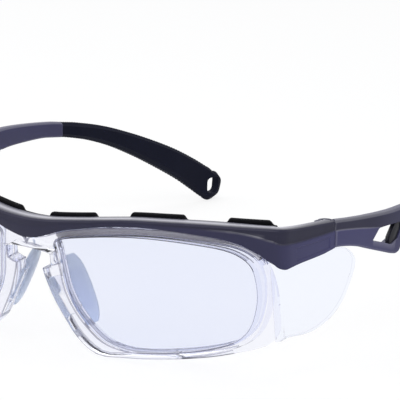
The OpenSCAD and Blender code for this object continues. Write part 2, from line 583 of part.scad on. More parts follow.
function tip_thick(u) = arm_t(1) + (tip_t - arm_t(1)) * ease((u - arm_end_u) / 0.06)
    - (tip_t - tip_end_t) * ease((u - 0.82) / 0.13);
function tip_ring(u) = let (t = tip_thick(u), round = min(1.1, t / 2 - 0.25))
    [for (p = ring(u, t, round)) p + [(t - arm_t(1)) / 2, 0, 0]];
// The end is a half round: the last stations swing about the low end of the slot
function tip_end(k, n) = let (a = low_pt(tip_end_u), b = top_pt(tip_end_u), m = (a + b) / 2,
        h = norm(b - a) / 2, c = 90 * k / n, out = [0, (b - a)[2], -(b - a)[1]] / (2 * h))
    [for (p = tip_ring(tip_end_u)) let (q = p - m, v = q * (b - a) / (2 * h))
        m + [q[0], 0, 0] * (1 - 0.25 * pow(k / n, 2)) + (b - a) / (2 * h) * v * cos(c * 0.96)
            + out * h * 1.05 * sin(c)];
module temple_tip() color(c_black) difference() {
    loft(concat([for (u = tip_us) tip_ring(u)], [for (k = [1:tip_steps]) tip_end(k, tip_steps)]));
    intersection() {
        tongue(tongue_t, fit);
        translate([0, hinge_y + tip_start - 1, -1]) cube([2 * far, 3 * far, far]);
    }
    lanyard_slot();
}
module lanyard_slot() let (m = (low_pt(tip_end_u) + top_pt(tip_end_u)) / 2)
    translate([0, m[1] + 0.5, m[2] + 0.2]) rotate([90, 0, 90]) linear_extrude(2 * far)
    offset(slot_r) square([slot_len - 2 * slot_r, slot_h - 2 * slot_r], center = true);

// The pieces above are drawn from the front; this moves them to the origin
tip_steps = 5;
front_y = bar_point(0, 0, along(bar_top, 0))[1];
rear_y = max([for (p = tip_end(tip_steps, tip_steps)) p[1]]);
module placed() translate([0, -(front_y + rear_y) / 2, 0]) children();
module right() mirror([1, 0, 0]) children();
placed() front_frame();
placed() brow_bar();
placed() brow_cushion();
placed() bar_screws();
placed() lens();  // lens_left
right() placed() lens();  // lens_right
placed() side_shield();  // side_shield_left
right() placed() side_shield();  // side_shield_right
placed() nose_pad();  // nose_pad_left
right() placed() nose_pad();  // nose_pad_right
placed() hinge_screw();  // hinge_screw_left
right() placed() hinge_screw();  // hinge_screw_right
placed() hinge_insert();  // hinge_insert_left
right() placed() hinge_insert();  // hinge_insert_right
placed() temple_arm();  // temple_arm_left
right() placed() temple_arm();  // temple_arm_right
placed() temple_inlay();  // temple_inlay_left
right() placed() temple_inlay();  // temple_inlay_right
placed() temple_tip();  // temple_tip_left
right() placed() temple_tip();  // temple_tip_right
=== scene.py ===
"""Wrap-round prescription safety glasses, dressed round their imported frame."""

import json
from math import asin, copysign, cos, hypot, inf, pi, radians, sin, sqrt, tan

import bmesh
import bpy
from mathutils import Euler, Matrix, Vector, kdtree


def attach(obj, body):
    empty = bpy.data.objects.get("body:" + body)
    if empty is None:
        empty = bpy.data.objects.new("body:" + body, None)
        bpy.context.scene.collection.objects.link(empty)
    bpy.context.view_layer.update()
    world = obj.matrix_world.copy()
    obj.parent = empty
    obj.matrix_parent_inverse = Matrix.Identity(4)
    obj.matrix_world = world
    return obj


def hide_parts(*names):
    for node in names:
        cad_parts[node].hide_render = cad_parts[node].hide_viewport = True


bl_info = {
    "name": "Safety Glasses",
    "version": (1, 0, 0),
    "blender": (4, 5, 0),
    "location": "View3D > Sidebar > Glasses",
    "description": "Models and finishes prescription safety glasses piece by piece",
    "category": "Object",
}

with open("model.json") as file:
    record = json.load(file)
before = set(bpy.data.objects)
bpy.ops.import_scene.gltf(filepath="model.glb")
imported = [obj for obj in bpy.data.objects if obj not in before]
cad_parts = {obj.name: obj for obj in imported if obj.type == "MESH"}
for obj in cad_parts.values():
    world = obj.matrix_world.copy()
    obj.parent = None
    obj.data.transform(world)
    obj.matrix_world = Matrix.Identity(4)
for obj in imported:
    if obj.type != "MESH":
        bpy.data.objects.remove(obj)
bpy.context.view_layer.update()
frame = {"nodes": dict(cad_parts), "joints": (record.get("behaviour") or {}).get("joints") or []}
HINGE = next(Vector(j["pos_m"]) for j in frame["joints"] if j["name"] == "temple_fold_left") * 1000

MM = 0.001

# Sizes in millimetres, as the frame has them. Heights on the front count from LEAN_Z
LENS_W, LENS_H, LENS_T, LENS_TOP, BRIDGE_W, LENS_BITE = 54, 33.4, 2.2, 4.6, 17.4, 0.7
WRAP_R, LEAN, RIM_T, RIM_W, NASAL_W, OUTER_W = 126, radians(9), 4.2, 1.2, 4.2, 3.1
FRONT_LIP, MARGIN_T, BRIDGE_H, RIM_WALL = 0.9, 1.2, 6.6, 1
BAR_PROUD, BAR_WALL, SHELF_T, SHELF_D, CREASE = 1, 1.8, 1.4, 5.2, 0.45
CORNER_GAP, CORNER_R, FLARE, END_LEN, END_T = 4, 5.5, radians(8), 16.2, 3.6
CUSHION_T, CUSHION_H, BLOCK_H, BLOCK_LEN, BLOCK_GAP = 2, 4.4, 0.9, 15.6, 9.8
SHIELD_T, SHIELD_BACK, SHIELD_DROP, SHIELD_CURL = 1.4, 10.4, 20.8, 0.8
PAD_H, PAD_W, PAD_T, FIN_T, FIN_H, FIN_REACH = 20, 6.8, 3.2, 1.3, 11, 7.6
BARREL_R, SCREW_D, HEAD_D, INSERT_D, KNUCKLE_H = 2.1, 1.4, 2.5, 2.4, 2.3
TEMPLE_H, TEMPLE_T, REACH, BOW_OUT, BOW_IN = 7.2, 3.6, 130.5, 2, 11
WINDOW_LEN, WINDOW_H, INLAY_LEN, WINDOW_BACK, WINDOW_DROP = 8.2, 3.6, 4.8, 15.5, 5.2
TIP_T, TIP_END_T, TIP_START, SLOT_LEN, SLOT_H, SLOT_R = 4.4, 2.8, 59.4, 5.6, 5.2, 1.5
FIT, SWING_GAP, EAR_GAP, EAR_INSET = 0.05, 0.35, 0.12, 0.3

# What only the scene has: small edge radii, and how far out the cutters for the sides reach
BARREL_ROUND, FIN_ROUND, SHIELD_ROUND, CUT_IN, CUT_OUT = 0.12 * MM, 0.25 * MM, 0.4 * MM, 50, 80

# Outlines along the bar: place 0 is the middle, 1 the corner's start, SIDE_Q its end, 2 the hinge
SIDE_Q = 1.2
BAR_LOW = [(0, 0.3), (0.03, 0.65), (0.065, 1.15), (0.1, 1.8), (0.14, 2.75), (0.19, 4.05),
    (0.27, 5.3), (0.38, 6.9), (0.48, 7.7), (0.58, 8), (0.67, 7.8), (0.76, 7.3), (0.84, 6.55),
    (0.90, 5.3), (0.95, 3.3), (1, 0.6), (1.1, -0.7), (1.2, -0.35), (1.36, 0.15), (1.58, 0.6),
    (1.79, 1.1), (2, 1.8)]
BAR_TOP = [(0, 5.9), (0.1, 6.2), (0.19, 6.9), (0.38, 8.6), (0.48, 9.4), (0.58, 9.8),
    (0.76, 10.2), (0.93, 10.1), (1.1, 9.9), (1.36, 9.35), (1.7, 9), (2, 8.8)]
BAR_CREASE = [(0, 0.55), (0.6, 0.55), (0.76, 0.56), (0.86, 0.64), (0.93, 0.66), (1.1, 0.61),
    (1.36, 0.6), (1.7, 0.62), (2, 0.64)]
SHIELD_LOW = [(0.93, -1.045), (1, -1.005), (1.1, -0.98), (1.2, -0.97), (1.6, -0.98),
    (1.85, -0.95), (2.1, -0.86), (2.3, -0.68), (2.42, -0.47), (2.46, -0.37)]
SHIELD_TOP = [(0.95, 3.5), (1, 2.2), (1.1, 1.6), (1.3, 1.6), (1.5, 1), (1.62, 0.1),
    (1.8, 0.5), (2, 1.1), (2.15, 0.9), (2.3, 0.2), (2.42, -1.9), (2.46, -3.4)]
TEMPLE_TOP = [(0, 39.2), (0.06, 38.6), (0.11, 38.15), (0.19, 37.8), (0.26, 38.1),
    (0.33, 37.6), (0.42, 36.45), (0.46, 35.6), (0.52, 34.15), (0.60, 31.6), (0.68, 28.05),
    (0.75, 24.5), (0.83, 19.95), (0.905, 14.9), (0.957, 10.8), (0.98, 8.6)]
TEMPLE_LOW = [(0, 32.2), (0.04, 31.7), (0.08, 30.6), (0.12, 28.9), (0.17, 26.85), (0.195, 25.9),
    (0.2125, 25.8), (0.222, 27.6), (0.235, 31.2), (0.25, 31.65), (0.28, 32), (0.33, 32.1),
    (0.39, 32), (0.43, 31.4), (0.47, 30.6), (0.54, 28.4), (0.62, 24.8), (0.70, 20),
    (0.775, 14.8), (0.85, 9.1), (0.90, 4.5), (0.93, 1.7), (0.955, 0)]
# Lens outline from the upper nose corner, down and round: width share, height share, rim width
LENS_SHAPE = [(0.006, 0.78, NASAL_W * 0.92), (0.017, 0.65, NASAL_W * 1.25),
    (0.036, 0.46, NASAL_W), (0.083, 0.297, NASAL_W * 0.89), (0.147, 0.165, NASAL_W),
    (0.222, 0.06, NASAL_W * 0.9),
    (0.325, 0.006, RIM_W * 1.4), (0.445, 0, RIM_W * 0.93), (0.62, 0.031, RIM_W * 1.12),
    (0.76, 0.07, RIM_W * 1.43), (0.88, 0.135, (RIM_W + OUTER_W) * 0.6),
    (0.95, 0.25, OUTER_W * 1.85), (0.985, 0.42, OUTER_W * 1.38),
    (0.995, 0.58, OUTER_W * 1.15), (0.98, 0.76, OUTER_W),
    (0.935, 0.86, OUTER_W), (0.86, 0.925, RIM_W), (0.74, 0.965, RIM_W),
    (0.58, 0.994, RIM_W), (0.44, 1, RIM_W), (0.3, 0.985, RIM_W),
    (0.15, 0.95, RIM_W), (0.05, 0.915, RIM_W), (0, 0.865, RIM_W)]


# Curves


def ease(u):
    c = min(max(u, 0), 1)
    return c * c * (3 - 2 * c)


def along(table, q):
    """The value at q on the smooth line through a table of (place, value)."""
    last = len(table) - 1
    p = min(max(q, table[0][0]), table[last][0])
    i = next((k for k in range(last) if p < table[k + 1][0]), last - 1)

    def slope(k):
        if k <= 0 or k >= last:
            return 0
        return (table[k + 1][1] - table[k - 1][1]) / (table[k + 1][0] - table[k - 1][0])

    w = table[i + 1][0] - table[i][0]
    u = (p - table[i][0]) / w
    return (
        table[i][1] * (1 + 2 * u) * (1 - u) ** 2
        + table[i + 1][1] * u * u * (3 - 2 * u)
        + slope(i) * w * u * (1 - u) ** 2
        - slope(i + 1) * w * u * u * (1 - u)
    )


def closed_curve(points, s):
    """The point at s, counted in points, on the smooth closed line through points."""
    n = len(points)
    i = int(s // 1)
    u = s - i
    a, b, c, d = (points[(i + k) % n] for k in (-1, 0, 1, 2))
    return 0.5 * (
        2 * b + (c - a) * u + (2 * a - 5 * b + 4 * c - d) * u * u
        + (3 * b - a - 3 * c + d) * u * u * u
    )


def stations(*spans):
    """Places in spans of (start, end, count), and the last end."""
    found = [a + (b - a) * i / n for a, b, n in spans for i in range(n)]
    return found + [spans[-1][1]]


def tree_of(points):
    """Points to look up the nearest of."""
    tree = kdtree.KDTree(len(points))
    for i, point in enumerate(points):
        tree.insert(point, i)
    tree.balance()
    return tree


# Places on the frame, in millimetres, for the left side

HALF_W = BRIDGE_W / 2 + LENS_W + CORNER_GAP
BAR_R = WRAP_R + BAR_PROUD
CORNER_A = asin(HALF_W / BAR_R)
CORNER_X = HALF_W - CORNER_R * sin(CORNER_A)
CORNER_Y = WRAP_R - (BAR_R - CORNER_R) * cos(CORNER_A)
LEAN_Z = HINGE.z - along(BAR_LOW, 2) - TEMPLE_H / 2


def front_plan(q, deep):
    a = asin(q * HALF_W / BAR_R)
    return (BAR_R - deep) * sin(a), WRAP_R - (BAR_R - deep) * cos(a)


def bar_plan(q, deep):
    if q <= 1:
        return front_plan(q, deep)
    turned = min((q - 1) / (SIDE_Q - 1), 1)
    b = CORNER_A + (pi / 2 - FLARE - CORNER_A) * turned
    d = max(q - SIDE_Q, 0) / (2 - SIDE_Q) * END_LEN
    return (
        CORNER_X + (CORNER_R - deep) * sin(b) + d * sin(FLARE),
        CORNER_Y - (CORNER_R - deep) * cos(b) + d * cos(FLARE),
    )


SHIFT_Y = HINGE.y - bar_plan(2, 0)[1] / cos(LEAN)


def raised(plan, share, z):
    x, y = plan
    return Vector((x, y / cos(LEAN) - share * tan(LEAN) * z + SHIFT_Y, LEAN_Z + z))


def bar_point(q, deep, z):
    return raised(bar_plan(q, deep), 1 - ease(q - 1), z)


def leaning(x, z, deep):
    """A point on the wrapped, leaning front: x, height and depth behind its front face."""
    y = WRAP_R - sqrt((WRAP_R - deep) ** 2 - x * x)
    return Vector((
        x,
        y * cos(LEAN) - z * sin(LEAN) + SHIFT_Y,
        y * sin(LEAN) + z * cos(LEAN) + LEAN_Z,
    ))


def inward(point):
    """The direction of depth at a point on the wrapped, leaning front."""
    y = (point.y - SHIFT_Y) * cos(LEAN) + (point.z - LEAN_Z) * sin(LEAN)
    back = WRAP_R - y
    return Vector((-point.x, back * cos(LEAN), back * sin(LEAN))).normalized()


def front_height(x, z):
    return (z - (WRAP_R - sqrt(WRAP_R**2 - x * x)) * sin(LEAN)) / cos(LEAN)


def temple_x(u):
    wide = 0.33
    if u < wide:
        return bar_plan(2, 0)[0] + BOW_OUT * (1 - (1 - u / wide) ** 2)
    return bar_plan(2, 0)[0] + BOW_OUT - BOW_IN * ((u - wide) / (1 - wide)) ** 1.6


def temple_point(table, u, late=0):
    """A point on the temple's upper or lower line, at a share of its reach."""
    s = u - late
    z = along(table, s) + (HINGE.z - 35.8) * (1 - ease((s - 0.3) / 0.6))
    return Vector((temple_x(s), HINGE.y + s * REACH, z))


def temple_section(u, thick, edge, step=0.0, out=0.0, rib=0.0):
    """Ring round the temple at share u: its upper outer band is set back by step."""
    low = temple_point(TEMPLE_LOW, u, LAG * ease((u - 0.55) / 0.3))
    high = temple_point(TEMPLE_TOP, u)
    rise = high - low
    h = rise.length
    d = rise / h
    across = Vector((1, 0, 0))
    mid = h * ARM_CREASE
    spots = [
        (rib, -edge), (edge, 0), (h * 0.3, 0), (mid - 0.2, 0), (mid + 0.2, -step),
        (h - edge, -step), (h - rib, -step - edge), (h - rib, edge - thick),
        (h - edge, -thick), (h * 0.5, -thick), (edge, -thick), (rib, edge - thick),
    ]
    return [low + d * v + across * (x + out) for v, x in spots]


# Shares of the reach, but for ARM_CREASE, a share of the arm's height. LAG is how far a
# tip's lower line falls behind its upper one
ARM_END, RIBS_END, TIP_END, LAG = TIP_START / REACH, 0.95, 0.967, 0.012
ARM_CREASE = 0.64
TIP_STEPS = 8
EAR_H = (TEMPLE_H - KNUCKLE_H) / 2 - EAR_GAP - EAR_INSET


def arm_thick(u):
    return TEMPLE_T - 0.7 * ease(u / ARM_END)


def tip_section(u, rib=0.0):
    grown = (TIP_T - arm_thick(1)) * ease((u - ARM_END) / 0.06)
    t = arm_thick(1) + grown - (TIP_T - TIP_END_T) * ease((u - 0.82) / 0.13)
    return temple_section(u, t, min(1.1, t / 2 - 0.25), out=(t - arm_thick(1)) / 2, rib=rib)


def tip_middle():
    """Middle of the tip's last straight ring, and its run from the lower to the upper line."""
    low = temple_point(TEMPLE_LOW, TIP_END, LAG)
    high = temple_point(TEMPLE_TOP, TIP_END)
    return (low + high) / 2, high - low


def tip_end(k):
    """A ring of the tip's rounded end, swung about the slot."""
    m, run = tip_middle()
    h = run.length / 2
    d = run / (2 * h)
    out = Vector((0, d.z, -d.y))
    c = pi / 2 * k / TIP_STEPS
    ring = []
    for p in tip_section(TIP_END):
        q = p - m
        ring.append(m + Vector((q.x * (1 - 0.25 * (k / TIP_STEPS) ** 2), 0, 0))
            + d * q.dot(d) * cos(0.96 * c) + out * h * 1.05 * sin(c))
    return ring


# Modelling, as by hand


def leave():
    bpy.ops.object.mode_set(mode="OBJECT")


def clear_selection():
    if bpy.context.object and bpy.context.object.mode != "OBJECT":
        leave()
    bpy.ops.object.select_all(action="DESELECT")


def take(piece):
    clear_selection()
    piece.select_set(True)
    bpy.context.view_layer.objects.active = piece


def edit(piece, mode="VERT", select="SELECT"):
    take(piece)
    bpy.ops.object.mode_set(mode="EDIT")
    bpy.ops.mesh.select_mode(type=mode)
    bpy.ops.mesh.select_all(action=select)
    return bmesh.from_edit_mesh(piece.data)


def pick(mesh, elements, test):
    """Selects the faces or edges that test holds for."""
    for element in elements:
        element.select_set(bool(test(element)))
    mesh.select_flush_mode()


def modify(piece, kind, **settings):
    """Adds a modifier and applies it."""
    take(piece)
    modifier = piece.modifiers.new(kind.title(), kind)
    for name, value in settings.items():
        setattr(modifier, name, value)
    bpy.ops.object.modifier_apply(modifier=modifier.name)


def round_edges(piece, width, degrees, **settings):
    """Bevels the edges of a piece that turn by more than so many degrees."""
    modify(piece, "BEVEL", **{"width": width, "segments": 2, "limit_method": "ANGLE",
        "angle_limit": radians(degrees), **settings})


def ring_of(name, points):
    """A new piece, left in edit mode: one ring of edges through points. Each point's number
    is kept as its spot."""
    clear_selection()
    bpy.ops.mesh.primitive_circle_add(vertices=len(points), radius=0.01)
    piece = bpy.context.active_object
    piece.name = piece.data.name = name
    bpy.ops.object.mode_set(mode="EDIT")
    bpy.ops.mesh.select_all(action="SELECT")
    mesh = bmesh.from_edit_mesh(piece.data)
    spot = mesh.verts.layers.int.new("spot")
    for k, vertex in enumerate(mesh.verts):
        vertex[spot] = k
        vertex.co = points[k] * MM
    return piece


def close_up(merged=1e-6):
    """Merges the doubles of the piece being edited and turns its faces outward."""
    bpy.ops.mesh.select_all(action="SELECT")
    bpy.ops.mesh.remove_doubles(threshold=merged)
    bpy.ops.mesh.normals_make_consistent(inside=False)
    leave()


def loft(name, rings, capped=True):
    """A skin through rings of points: the first is filled and extruded on from ring to ring."""
    piece = ring_of(name, rings[0])
    if capped:
        bpy.ops.mesh.edge_face_add()
    extrude = bpy.ops.mesh.extrude_region_move if capped else bpy.ops.mesh.extrude_edges_move
    for ring in rings[1:]:
        extrude()
        mesh = bmesh.from_edit_mesh(piece.data)
        spot = mesh.verts.layers.int["spot"]
        for vertex in mesh.verts:
            if vertex.select:
                vertex.co = ring[vertex[spot]] * MM
    close_up()
    return piece


def mirrored_rows(rows):
    return [[Vector((-p.x, p.y, p.z)) for p in r] for r in rows[:0:-1]] + rows


def take_copy(node, name):
    """A copy of a node's mesh as a new piece, with its loose triangles merged."""
    piece = bpy.data.objects.new(name, frame["nodes"][node].data.copy())
    piece.data.name = name
    bpy.context.scene.collection.objects.link(piece)
    edit(piece)
    bpy.ops.mesh.remove_doubles(threshold=1e-6)
    bpy.ops.mesh.dissolve_limited(angle_limit=radians(0.5))
    leave()
    return piece


def other_side(piece, name):
    """The same piece for the right side, with its own mesh."""
    take(piece)
    bpy.ops.object.duplicate()
    twin = bpy.context.active_object
    twin.name = twin.data.name = name
    twin.scale.x = -1
    bpy.ops.object.transform_apply(location=False, rotation=False, scale=True)
    edit(twin)
    bpy.ops.mesh.normals_make_consistent(inside=False)
    leave()
    return twin


def both(piece):
    """The left piece and its mirrored twin, each with its side."""
    return (piece, "left"), (other_side(piece, piece.name.replace("left", "right")), "right")


def smooth(piece, degrees=32):
    take(piece)
    bpy.ops.object.shade_smooth_by_angle(angle=radians(degrees))


def combine(piece, cutter, operation):
    """Cuts or joins a piece with another, which is used up, and merges what is left tiny."""
    modify(piece, "BOOLEAN", operation=operation, object=cutter, solver="EXACT")
    bpy.data.objects.remove(cutter)
    edit(piece)
    bpy.ops.mesh.remove_doubles(threshold=5e-6)
    bpy.ops.mesh.dissolve_degenerate(threshold=5e-6)
    leave()


def tag(piece, name, value):
    """Stores a number on each point of a piece, from its place in millimetres and normal."""
    layer = piece.data.attributes.new(name, "FLOAT", "POINT")
    for i, vertex in enumerate(piece.data.vertices):
        layer.data[i].value = value(vertex.co / MM, vertex.normal)


def drum(radius, low, high):
    """A plain cutter round the left hinge pin."""
    clear_selection()
    bpy.ops.mesh.primitive_cylinder_add(vertices=64, radius=radius * MM, depth=(high - low) * MM,
        location=(HINGE + Vector((0, 0, (low + high) / 2))) * MM)
    bpy.ops.object.transform_apply(location=True, rotation=False, scale=False)
    return bpy.context.active_object


def side_cutter(outline, rounding, segments=4):
    """A cutter with an outline of (y, z) places, run along X, with its long edges rounded."""
    cutter = loft("cutter", [[Vector((x, y, z)) for y, z in outline] for x in (CUT_IN, CUT_OUT)])
    mesh = edit(cutter, "EDGE", "DESELECT")
    pick(mesh, mesh.edges, lambda e: abs(e.verts[0].co.x - e.verts[1].co.x) > 1e-4)
    bpy.ops.mesh.bevel(offset=rounding * MM, segments=segments, affect="EDGES")
    leave()
    return cutter


def hand_over(piece, body, slot, *nodes):
    """The finished piece rides on its body and stands for its nodes."""
    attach(piece, body)
    if nodes:
        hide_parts(*nodes)


def dress(piece, *looks):
    """Gives a piece its finishes, one slot each."""
    piece.data.materials.clear()
    for look in looks:
        piece.data.materials.append(finish(look))


def paint(piece, slot, test):
    """Gives a slot to the faces that test holds for. It is given a face, its centre in
    millimetres and the spots of the loft's rings that the face joins."""
    mesh = edit(piece, "FACE", "DESELECT")
    spot = mesh.verts.layers.int["spot"]
    pick(mesh, mesh.faces, lambda f: test(
        f, f.calc_center_median() / MM, tuple(sorted({v[spot] for v in f.verts}))))
    piece.active_material_index = slot
    bpy.ops.object.material_slot_assign()
    leave()


# Finishes


class Number:
    """A number in a shader tree. Sums on it add Math nodes."""

    def __init__(self, finish, socket):
        self.finish, self.socket = finish, socket

    def sum(self, operation, other):
        return self.finish.number("ShaderNodeMath", {0: self, 1: other}, operation=operation)

    def __add__(self, other):
        return self.sum("ADD", other)

    __radd__ = __add__

    def __sub__(self, other):
        return self.sum("SUBTRACT", other)

    def __mul__(self, other):
        return self.sum("MULTIPLY", other)

    def clamped(self):
        return self.finish.number("ShaderNodeClamp", {"Value": self})


class Finish:
    """A material, or a world, that is built up node by node."""

    def __init__(self, name, world=None):
        self.owner = world or bpy.data.materials.new(name)
        self.owner.use_nodes = True
        self.tree = self.owner.node_tree
        self.tree.nodes.clear()
        self.output = "ShaderNodeOutputWorld" if world else "ShaderNodeOutputMaterial"

    def node(self, kind, sockets=None, output=0, **settings):
        """Adds a node, fills or links its sockets, and returns one of its outputs."""
        made = self.tree.nodes.new(kind)
        for name, value in settings.items():
            setattr(made, name, value)
        for name, value in (sockets or {}).items():
            if isinstance(value, Number):
                value = value.socket
            if isinstance(value, bpy.types.NodeSocket):
                self.tree.links.new(value, made.inputs[name])
            else:
                made.inputs[name].default_value = value
        return made.outputs[output] if made.outputs else None

    def number(self, *told, **settings):
        return Number(self, self.node(*told, **settings))

    def place(self):
        return self.node("ShaderNodeTexCoord", output="Object")

    def noise(self, scale, detail=2.0, stretch=None):
        place = self.place()
        if stretch:
            place = self.node("ShaderNodeMapping", {"Vector": place, "Scale": stretch})
        return self.number("ShaderNodeTexNoise", {
            "Vector": place, "Scale": scale, "Detail": detail}, "Fac")

    def attribute(self, name):
        return self.number("ShaderNodeAttribute", {}, "Fac", attribute_name=name)

    def blend(self, first, second, share):
        """A colour between two."""
        return self.node("ShaderNodeMix", {0: share, 6: first, 7: second}, 2, data_type="RGBA")

    def bump(self, height, strength, distance):
        return self.node("ShaderNodeBump", {
            "Height": height, "Strength": strength, "Distance": distance})

    def plastic(self, **sockets):
        return self.node("ShaderNodeBsdfPrincipled", {
            k.replace("_", " ").title().replace("Ior", "IOR"): v for k, v in sockets.items()})

    def seen(self):
        """1 for what the camera sees: straight, mirrored or through clear plastic."""
        path = self.node("ShaderNodeLightPath").node.outputs
        return (Number(self, path["Is Camera Ray"]) + Number(self, path["Is Glossy Ray"])
            + Number(self, path["Is Transmission Ray"])).clamped()

    def mixed(self, share, first, second):
        return self.node("ShaderNodeMixShader", {0: share, 1: first, 2: second})

    def done(self, shader):
        self.node(self.output, {"Surface": shader})
        return self.owner


def shade(red, green, blue):
    """A colour as a screen shows it, 0 to 255, made linear."""

    def linear(c):
        c /= 255
        return c / 12.92 if c <= 0.04045 else ((c + 0.055) / 1.055) ** 2.4

    return (linear(red), linear(green), linear(blue), 1.0)


def satin_shell():
    """Navy moulded plastic with a fine grain: painted shade above the crease and painted light,
    lighter and bluer, below it, with a painted highlight on the top shelf and along the crease.
    """
    f = Finish("navy_satin_plastic")
    grain = f.noise(2600, 3)
    cloud = f.noise(90, 2)
    # painted light and shade: lit, bluer navy below the crease and shaded navy above it
    colour = f.blend(shade(29, 28, 47), shade(62, 61, 100), f.attribute("band").clamped())
    colour = f.blend(colour, shade(74, 73, 98), (cloud - 0.45).clamped() * 0.2)
    # painted highlight and painted reflection on the shelf, the crease and the arms' upper edges
    colour = f.blend(colour, shade(214, 213, 222), f.attribute("pale").clamped())
    return f.done(f.plastic(
        base_color=colour, roughness=0.36 + grain * 0.12, ior=1.5, specular_ior_level=0.25,
        normal=f.bump(grain, 0.12, 0.00004)))


def tip_rubber():
    """Black rubber with a fine matt grain."""
    f = Finish("black_tip_rubber")
    grain = f.noise(3200, 3)
    cloud = f.noise(120, 2)
    colour = f.blend(shade(8, 11, 29), shade(20, 23, 42), (cloud - 0.4).clamped() * 0.8)
    return f.done(f.plastic(
        base_color=colour, roughness=0.55 + grain * 0.2, specular_ior_level=0.1,
        normal=f.bump(grain, 0.25, 0.00006)))


def cushion_foam():
    """Black closed-cell foam: small pits and a skin that is a little worn."""
    f = Finish("black_cushion_foam")
    cells = f.number("ShaderNodeTexVoronoi", {"Vector": f.place(), "Scale": 1500.0}, "Distance")
    cloud = f.noise(240, 3)
    colour = f.blend(shade(9, 9, 12), shade(26, 26, 32), (cloud - 0.35).clamped())
    return f.done(f.plastic(
        base_color=colour, roughness=0.75 + cells * 0.2, specular_ior_level=0.1,
        normal=f.bump(cells, 0.4, 0.00012)))


def black_trim():
    f = Finish("black_satin_trim")
    grain = f.noise(2400, 3)
    return f.done(f.plastic(
        base_color=f.blend(shade(14, 14, 20), shade(30, 30, 40), grain),
        roughness=0.3 + grain * 0.12, specular_ior_level=0.3, normal=f.bump(grain, 0.1, 0.00003)))


def clear_plastic(name, tint, weight=1.0, rough=0.02, ior=1.45, wave=0.02):
    """Water-clear plastic with a faint tint. Lamps shine through it."""
    f = Finish(name)
    cloud = f.noise(45, 2)
    flow = f.noise(160, 1, (1, 1, 0.35))
    pale = tuple(1 - (1 - c) * 0.85 for c in tint[:3]) + (1.0,)
    colour = f.blend(tint, pale, cloud)
    glass = f.plastic(
        base_color=colour, roughness=rough + cloud * 0.02, ior=ior,
        transmission_weight=weight, normal=f.bump(flow, wave, 0.0002))
    through = f.node("ShaderNodeBsdfTransparent", {"Color": tint})
    lamp = f.node("ShaderNodeLightPath", output="Is Shadow Ray")
    return f.done(f.mixed(lamp, glass, through))


def metal(name, colour, rough):
    """Turned metal with fine rings."""
    f = Finish(name)
    rings = f.noise(900, 2, (0.2, 0.2, 6))
    return f.done(f.plastic(
        base_color=f.blend(colour, shade(255, 255, 255), rings * 0.15), metallic=1.0,
        roughness=rough + rings * 0.15, normal=f.bump(rings, 0.1, 0.00003)))


# Each finish: its maker, and what that is told. For a clear plastic: name, tint, share that
# light passes through, roughness, light-bending index, waviness
LOOKS = {
    "shell": (satin_shell,),
    "rubber": (tip_rubber,),
    "foam": (cushion_foam,),
    "trim": (black_trim,),
    "clear": (clear_plastic, "clear_rim_plastic", shade(240, 241, 250)),
    # painted shade: dark lines on the rims' rounded edges, standing in for the shade that clear
    # plastic shows along its edges
    "edge": (clear_plastic, "clear_rim_edges", shade(132, 132, 152), 1.0, 0.12),
    "soft": (clear_plastic, "clear_joined_plastic", shade(246, 247, 253), 1.0, 0.02, 1.02),
    # painted shade: a grey, mostly opaque wall beside the nose, standing in for the shade seen
    # through the clear rim
    "wall": (clear_plastic, "clear_rim_wall", shade(150, 153, 170), 0.35, 0.3),
    # painted light: a near-white, almost opaque sheet on the rims' back under the bar, standing in
    # for light passing through the clear plastic there
    "frost": (clear_plastic, "clear_frosted_plastic", shade(250, 247, 255), 0.02, 0.4),
    "shield": (clear_plastic, "clear_shield_plastic", shade(243, 246, 254), 1.0, 0.02, 1.08),
    # painted shade: faint lines round the shields' rounded edges
    "shield_edge": (clear_plastic, "clear_shield_edges", shade(222, 225, 238), 1.0, 0.02, 1.08),
    "lens": (clear_plastic, "pale_blue_lens", shade(231, 235, 250), 1.0, 0.0, 1.45, 0.0),
    "pad": (clear_plastic, "grey_blue_silicone", shade(214, 223, 238), 0.6, 0.35, 1.3),
    "steel": (metal, "bright_screw_steel", shade(205, 207, 212), 0.2),
    "brass": (metal, "insert_brass", shade(214, 182, 112), 0.25),
}
FINISHES = {}


def finish(look):
    """The material of a look, made the first time that it is asked for."""
    if look not in FINISHES:
        maker, *told = LOOKS[look]
        FINISHES[look] = maker(*told)
    return FINISHES[look]


# Pieces


def length(name, description, default, least, most):
    return bpy.props.FloatProperty(name=name, description=description, default=default,
        min=least, max=most, unit="LENGTH", subtype="DISTANCE")


class BarSizes(bpy.types.PropertyGroup):
    """Sizes of the brow bar."""

    edge_round: length("Edge rounding", "Radius along the bar's edges", 0.00028, 0, 0.0005)
    panel_deep: length("Panel depth", "Depth of the plain panel on each end piece",
        0.00018, 0, 0.0004)


class FrontSizes(bpy.types.PropertyGroup):
    """Sizes of the clear front and its lenses."""

    edge_round: length("Edge rounding", "Radius along the rims' edges", 0.0003, 0, 0.0004)
    lens_edge: length("Lens edge", "Chamfer round each lens", 0.00015, 0, 0.0004)


class TempleSizes(bpy.types.PropertyGroup):
    """Sizes of the temples and their tips."""

    edge_round: length("Edge rounding", "Radius along the arms' edges", 0.0003, 0, 0.0005)
    rib_deep: length("Rib depth", "Depth of the fine ribs along the tips' edges",
        0.00014, 0, 0.0003)
    rib_pitch: length("Rib pitch", "Distance from one rib to the next", 0.0011, 0.0006, 0.003)


class StageSizes(bpy.types.PropertyGroup):
    """Settings of the stage."""

    floor_size: length("Floor size", "Width of the floor", 8.0, 2, 20)
    lens: bpy.props.FloatProperty(
        name="Lens", description="The camera's focal length", default=216.61, min=35, max=300,
        subtype="DISTANCE_CAMERA")
    floor_colour: bpy.props.FloatVectorProperty(
        name="Floor colour", description="Colour of the floor and backdrop",
        default=(1.0, 1.0, 1.0), min=0, max=1, size=3, subtype="COLOR")


